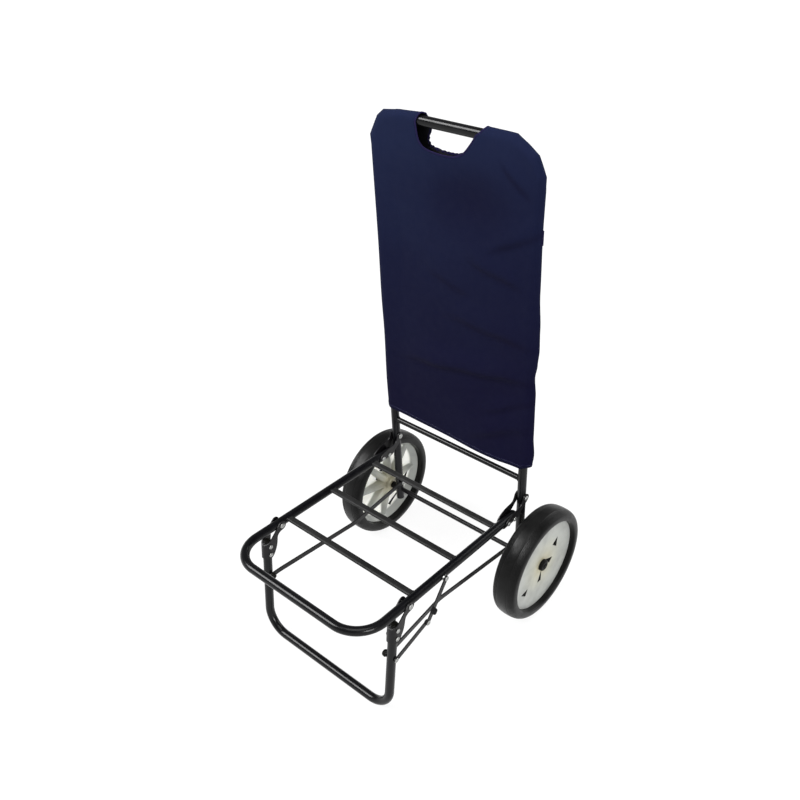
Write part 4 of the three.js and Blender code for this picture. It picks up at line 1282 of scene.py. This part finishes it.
def build_cover(cloth, backing, binding, sewing):
    points, faces, places, chains, neck = cover_shape()
    mesh = bpy.data.meshes.new("cover_cloth")
    mesh.from_pydata([tuple(p) for p in points], [], faces)
    face_outwards(mesh)
    lay_uv(mesh, "flat_cloth", lambda i, _: places[i])
    # Painted shade for each point: darker in the creases and the hollow below the neckline, lighter on the
    # back panel.
    painted_shade = mesh.attributes.new("painted_shade", "FLOAT", "POINT")
    for i, (p, at) in enumerate(zip(points, places)):
        painted_shade.data[i].value = painted_shade_at(p.x, at[1], at[0] < BACK_SHIFT / 2)
    cover = add_object("cover_cloth", mesh)
    stand_for("cover", cover, cloth, 180)
    thick = cover.modifiers.new("thickness", "SOLIDIFY")
    thick.thickness, thick.offset = CLOTH, 0.0
    mesh.materials.append(backing.material)
    thick.material_offset = 1

    hem_section = [(0.0006, 0.0009), (-0.0085, 0.0009), (-0.0092, 0.0003), (-0.0092, -0.0003),
                   (-0.0085, -0.0009), (0.0006, -0.0009), (0.0013, 0)]
    neck_section = [(-0.001, 0), (-0.0006, 0.0009), (0.0018, 0.001), (0.0024, 0.0003), (0.0024, -0.0003),
                    (0.0018, -0.001), (-0.0006, -0.0009)]
    hem = plain_object("cover_hem", *banded(edge_path(chains, neck, True), hem_section))
    edge = plain_object("neck_binding", *banded(edge_path(chains, neck, False), neck_section, 0.0016))
    seam_rows = edge_path(chains, neck, True, lift=CLOTH / 2 + 0.0006, rise=0.0075)
    stitches = plain_object("hem_stitches", *stitch_run(seam_rows))
    for piece, paint in ((hem, cloth), (edge, binding), (stitches, sewing)):
        lay_uv(piece.data, "flat_cloth", uv_by_place)
        dress(piece, paint, "frame", "navy_cloth", 60)
    tab = build_tab(chains[1], binding)


def uv_by_place(_, p):
    return p.x + p.y, p.z


def build_tab(chain, paint):
    """A short loop of plain tape sewn into the right-hand seam."""
    tab_s, thick, root, fold = 0.708, 0.0011, -0.004, 0.0024
    row = min(chain, key=lambda r: abs(r[0].y - tab_s) + r[3])
    edge = on_wrap(row, QUARTER, 1)
    slit, slit_end, long = 0.0002, 0.002, 0.0125
    outline = [(root, thick), (fold, thick), *arc(fold, 0, thick, QUARTER, -QUARTER, 8),
               (root, -thick), (root, -slit), (slit_end, -slit), (slit_end, slit), (root, slit)]
    place = Place(edge, ACROSS, UPRIGHT_OUT, UPRIGHT_UP)
    tab = plain_object("seam_tab", *prism(outline, -long, long, place))
    lay_uv(tab.data, "flat_cloth", uv_by_place)
    return dress(tab, paint, "frame", "navy_cloth", 50)


# ------------------------------------------------------------------ making everything
def main():
    add_camera()
    add_studio()
    coat, steel, metal, plastic = powder_coat(), pressed_steel(), zinc(), black_plastic()
    build_back_frame(coat, plastic, steel)
    build_platform(coat, matt_coat(), plastic)
    build_leg(coat, plastic)
    build_brackets(steel, metal)
    build_links(steel, metal, plastic)
    build_stay(steel, metal)
    build_wheels(ivory_plastic(), slot_painted_shade(), rubber(), plastic)
    # Each cloth's colours: painted light at the top left, the plain navy, and painted shade.
    navy = navy_cloth("navy_cloth", (0.0078, 0.012, 0.038), (0.0046, 0.006, 0.0235),
                      (0.003, 0.0026, 0.015))
    edge = navy_cloth("neck_binding_tape", (0.0125, 0.01, 0.044), (0.01, 0.008, 0.034),
                      (0.006, 0.005, 0.02), 1.6)
    build_cover(navy, black_backing(), edge, thread("navy_thread", (0.02, 0.022, 0.06)))


main()
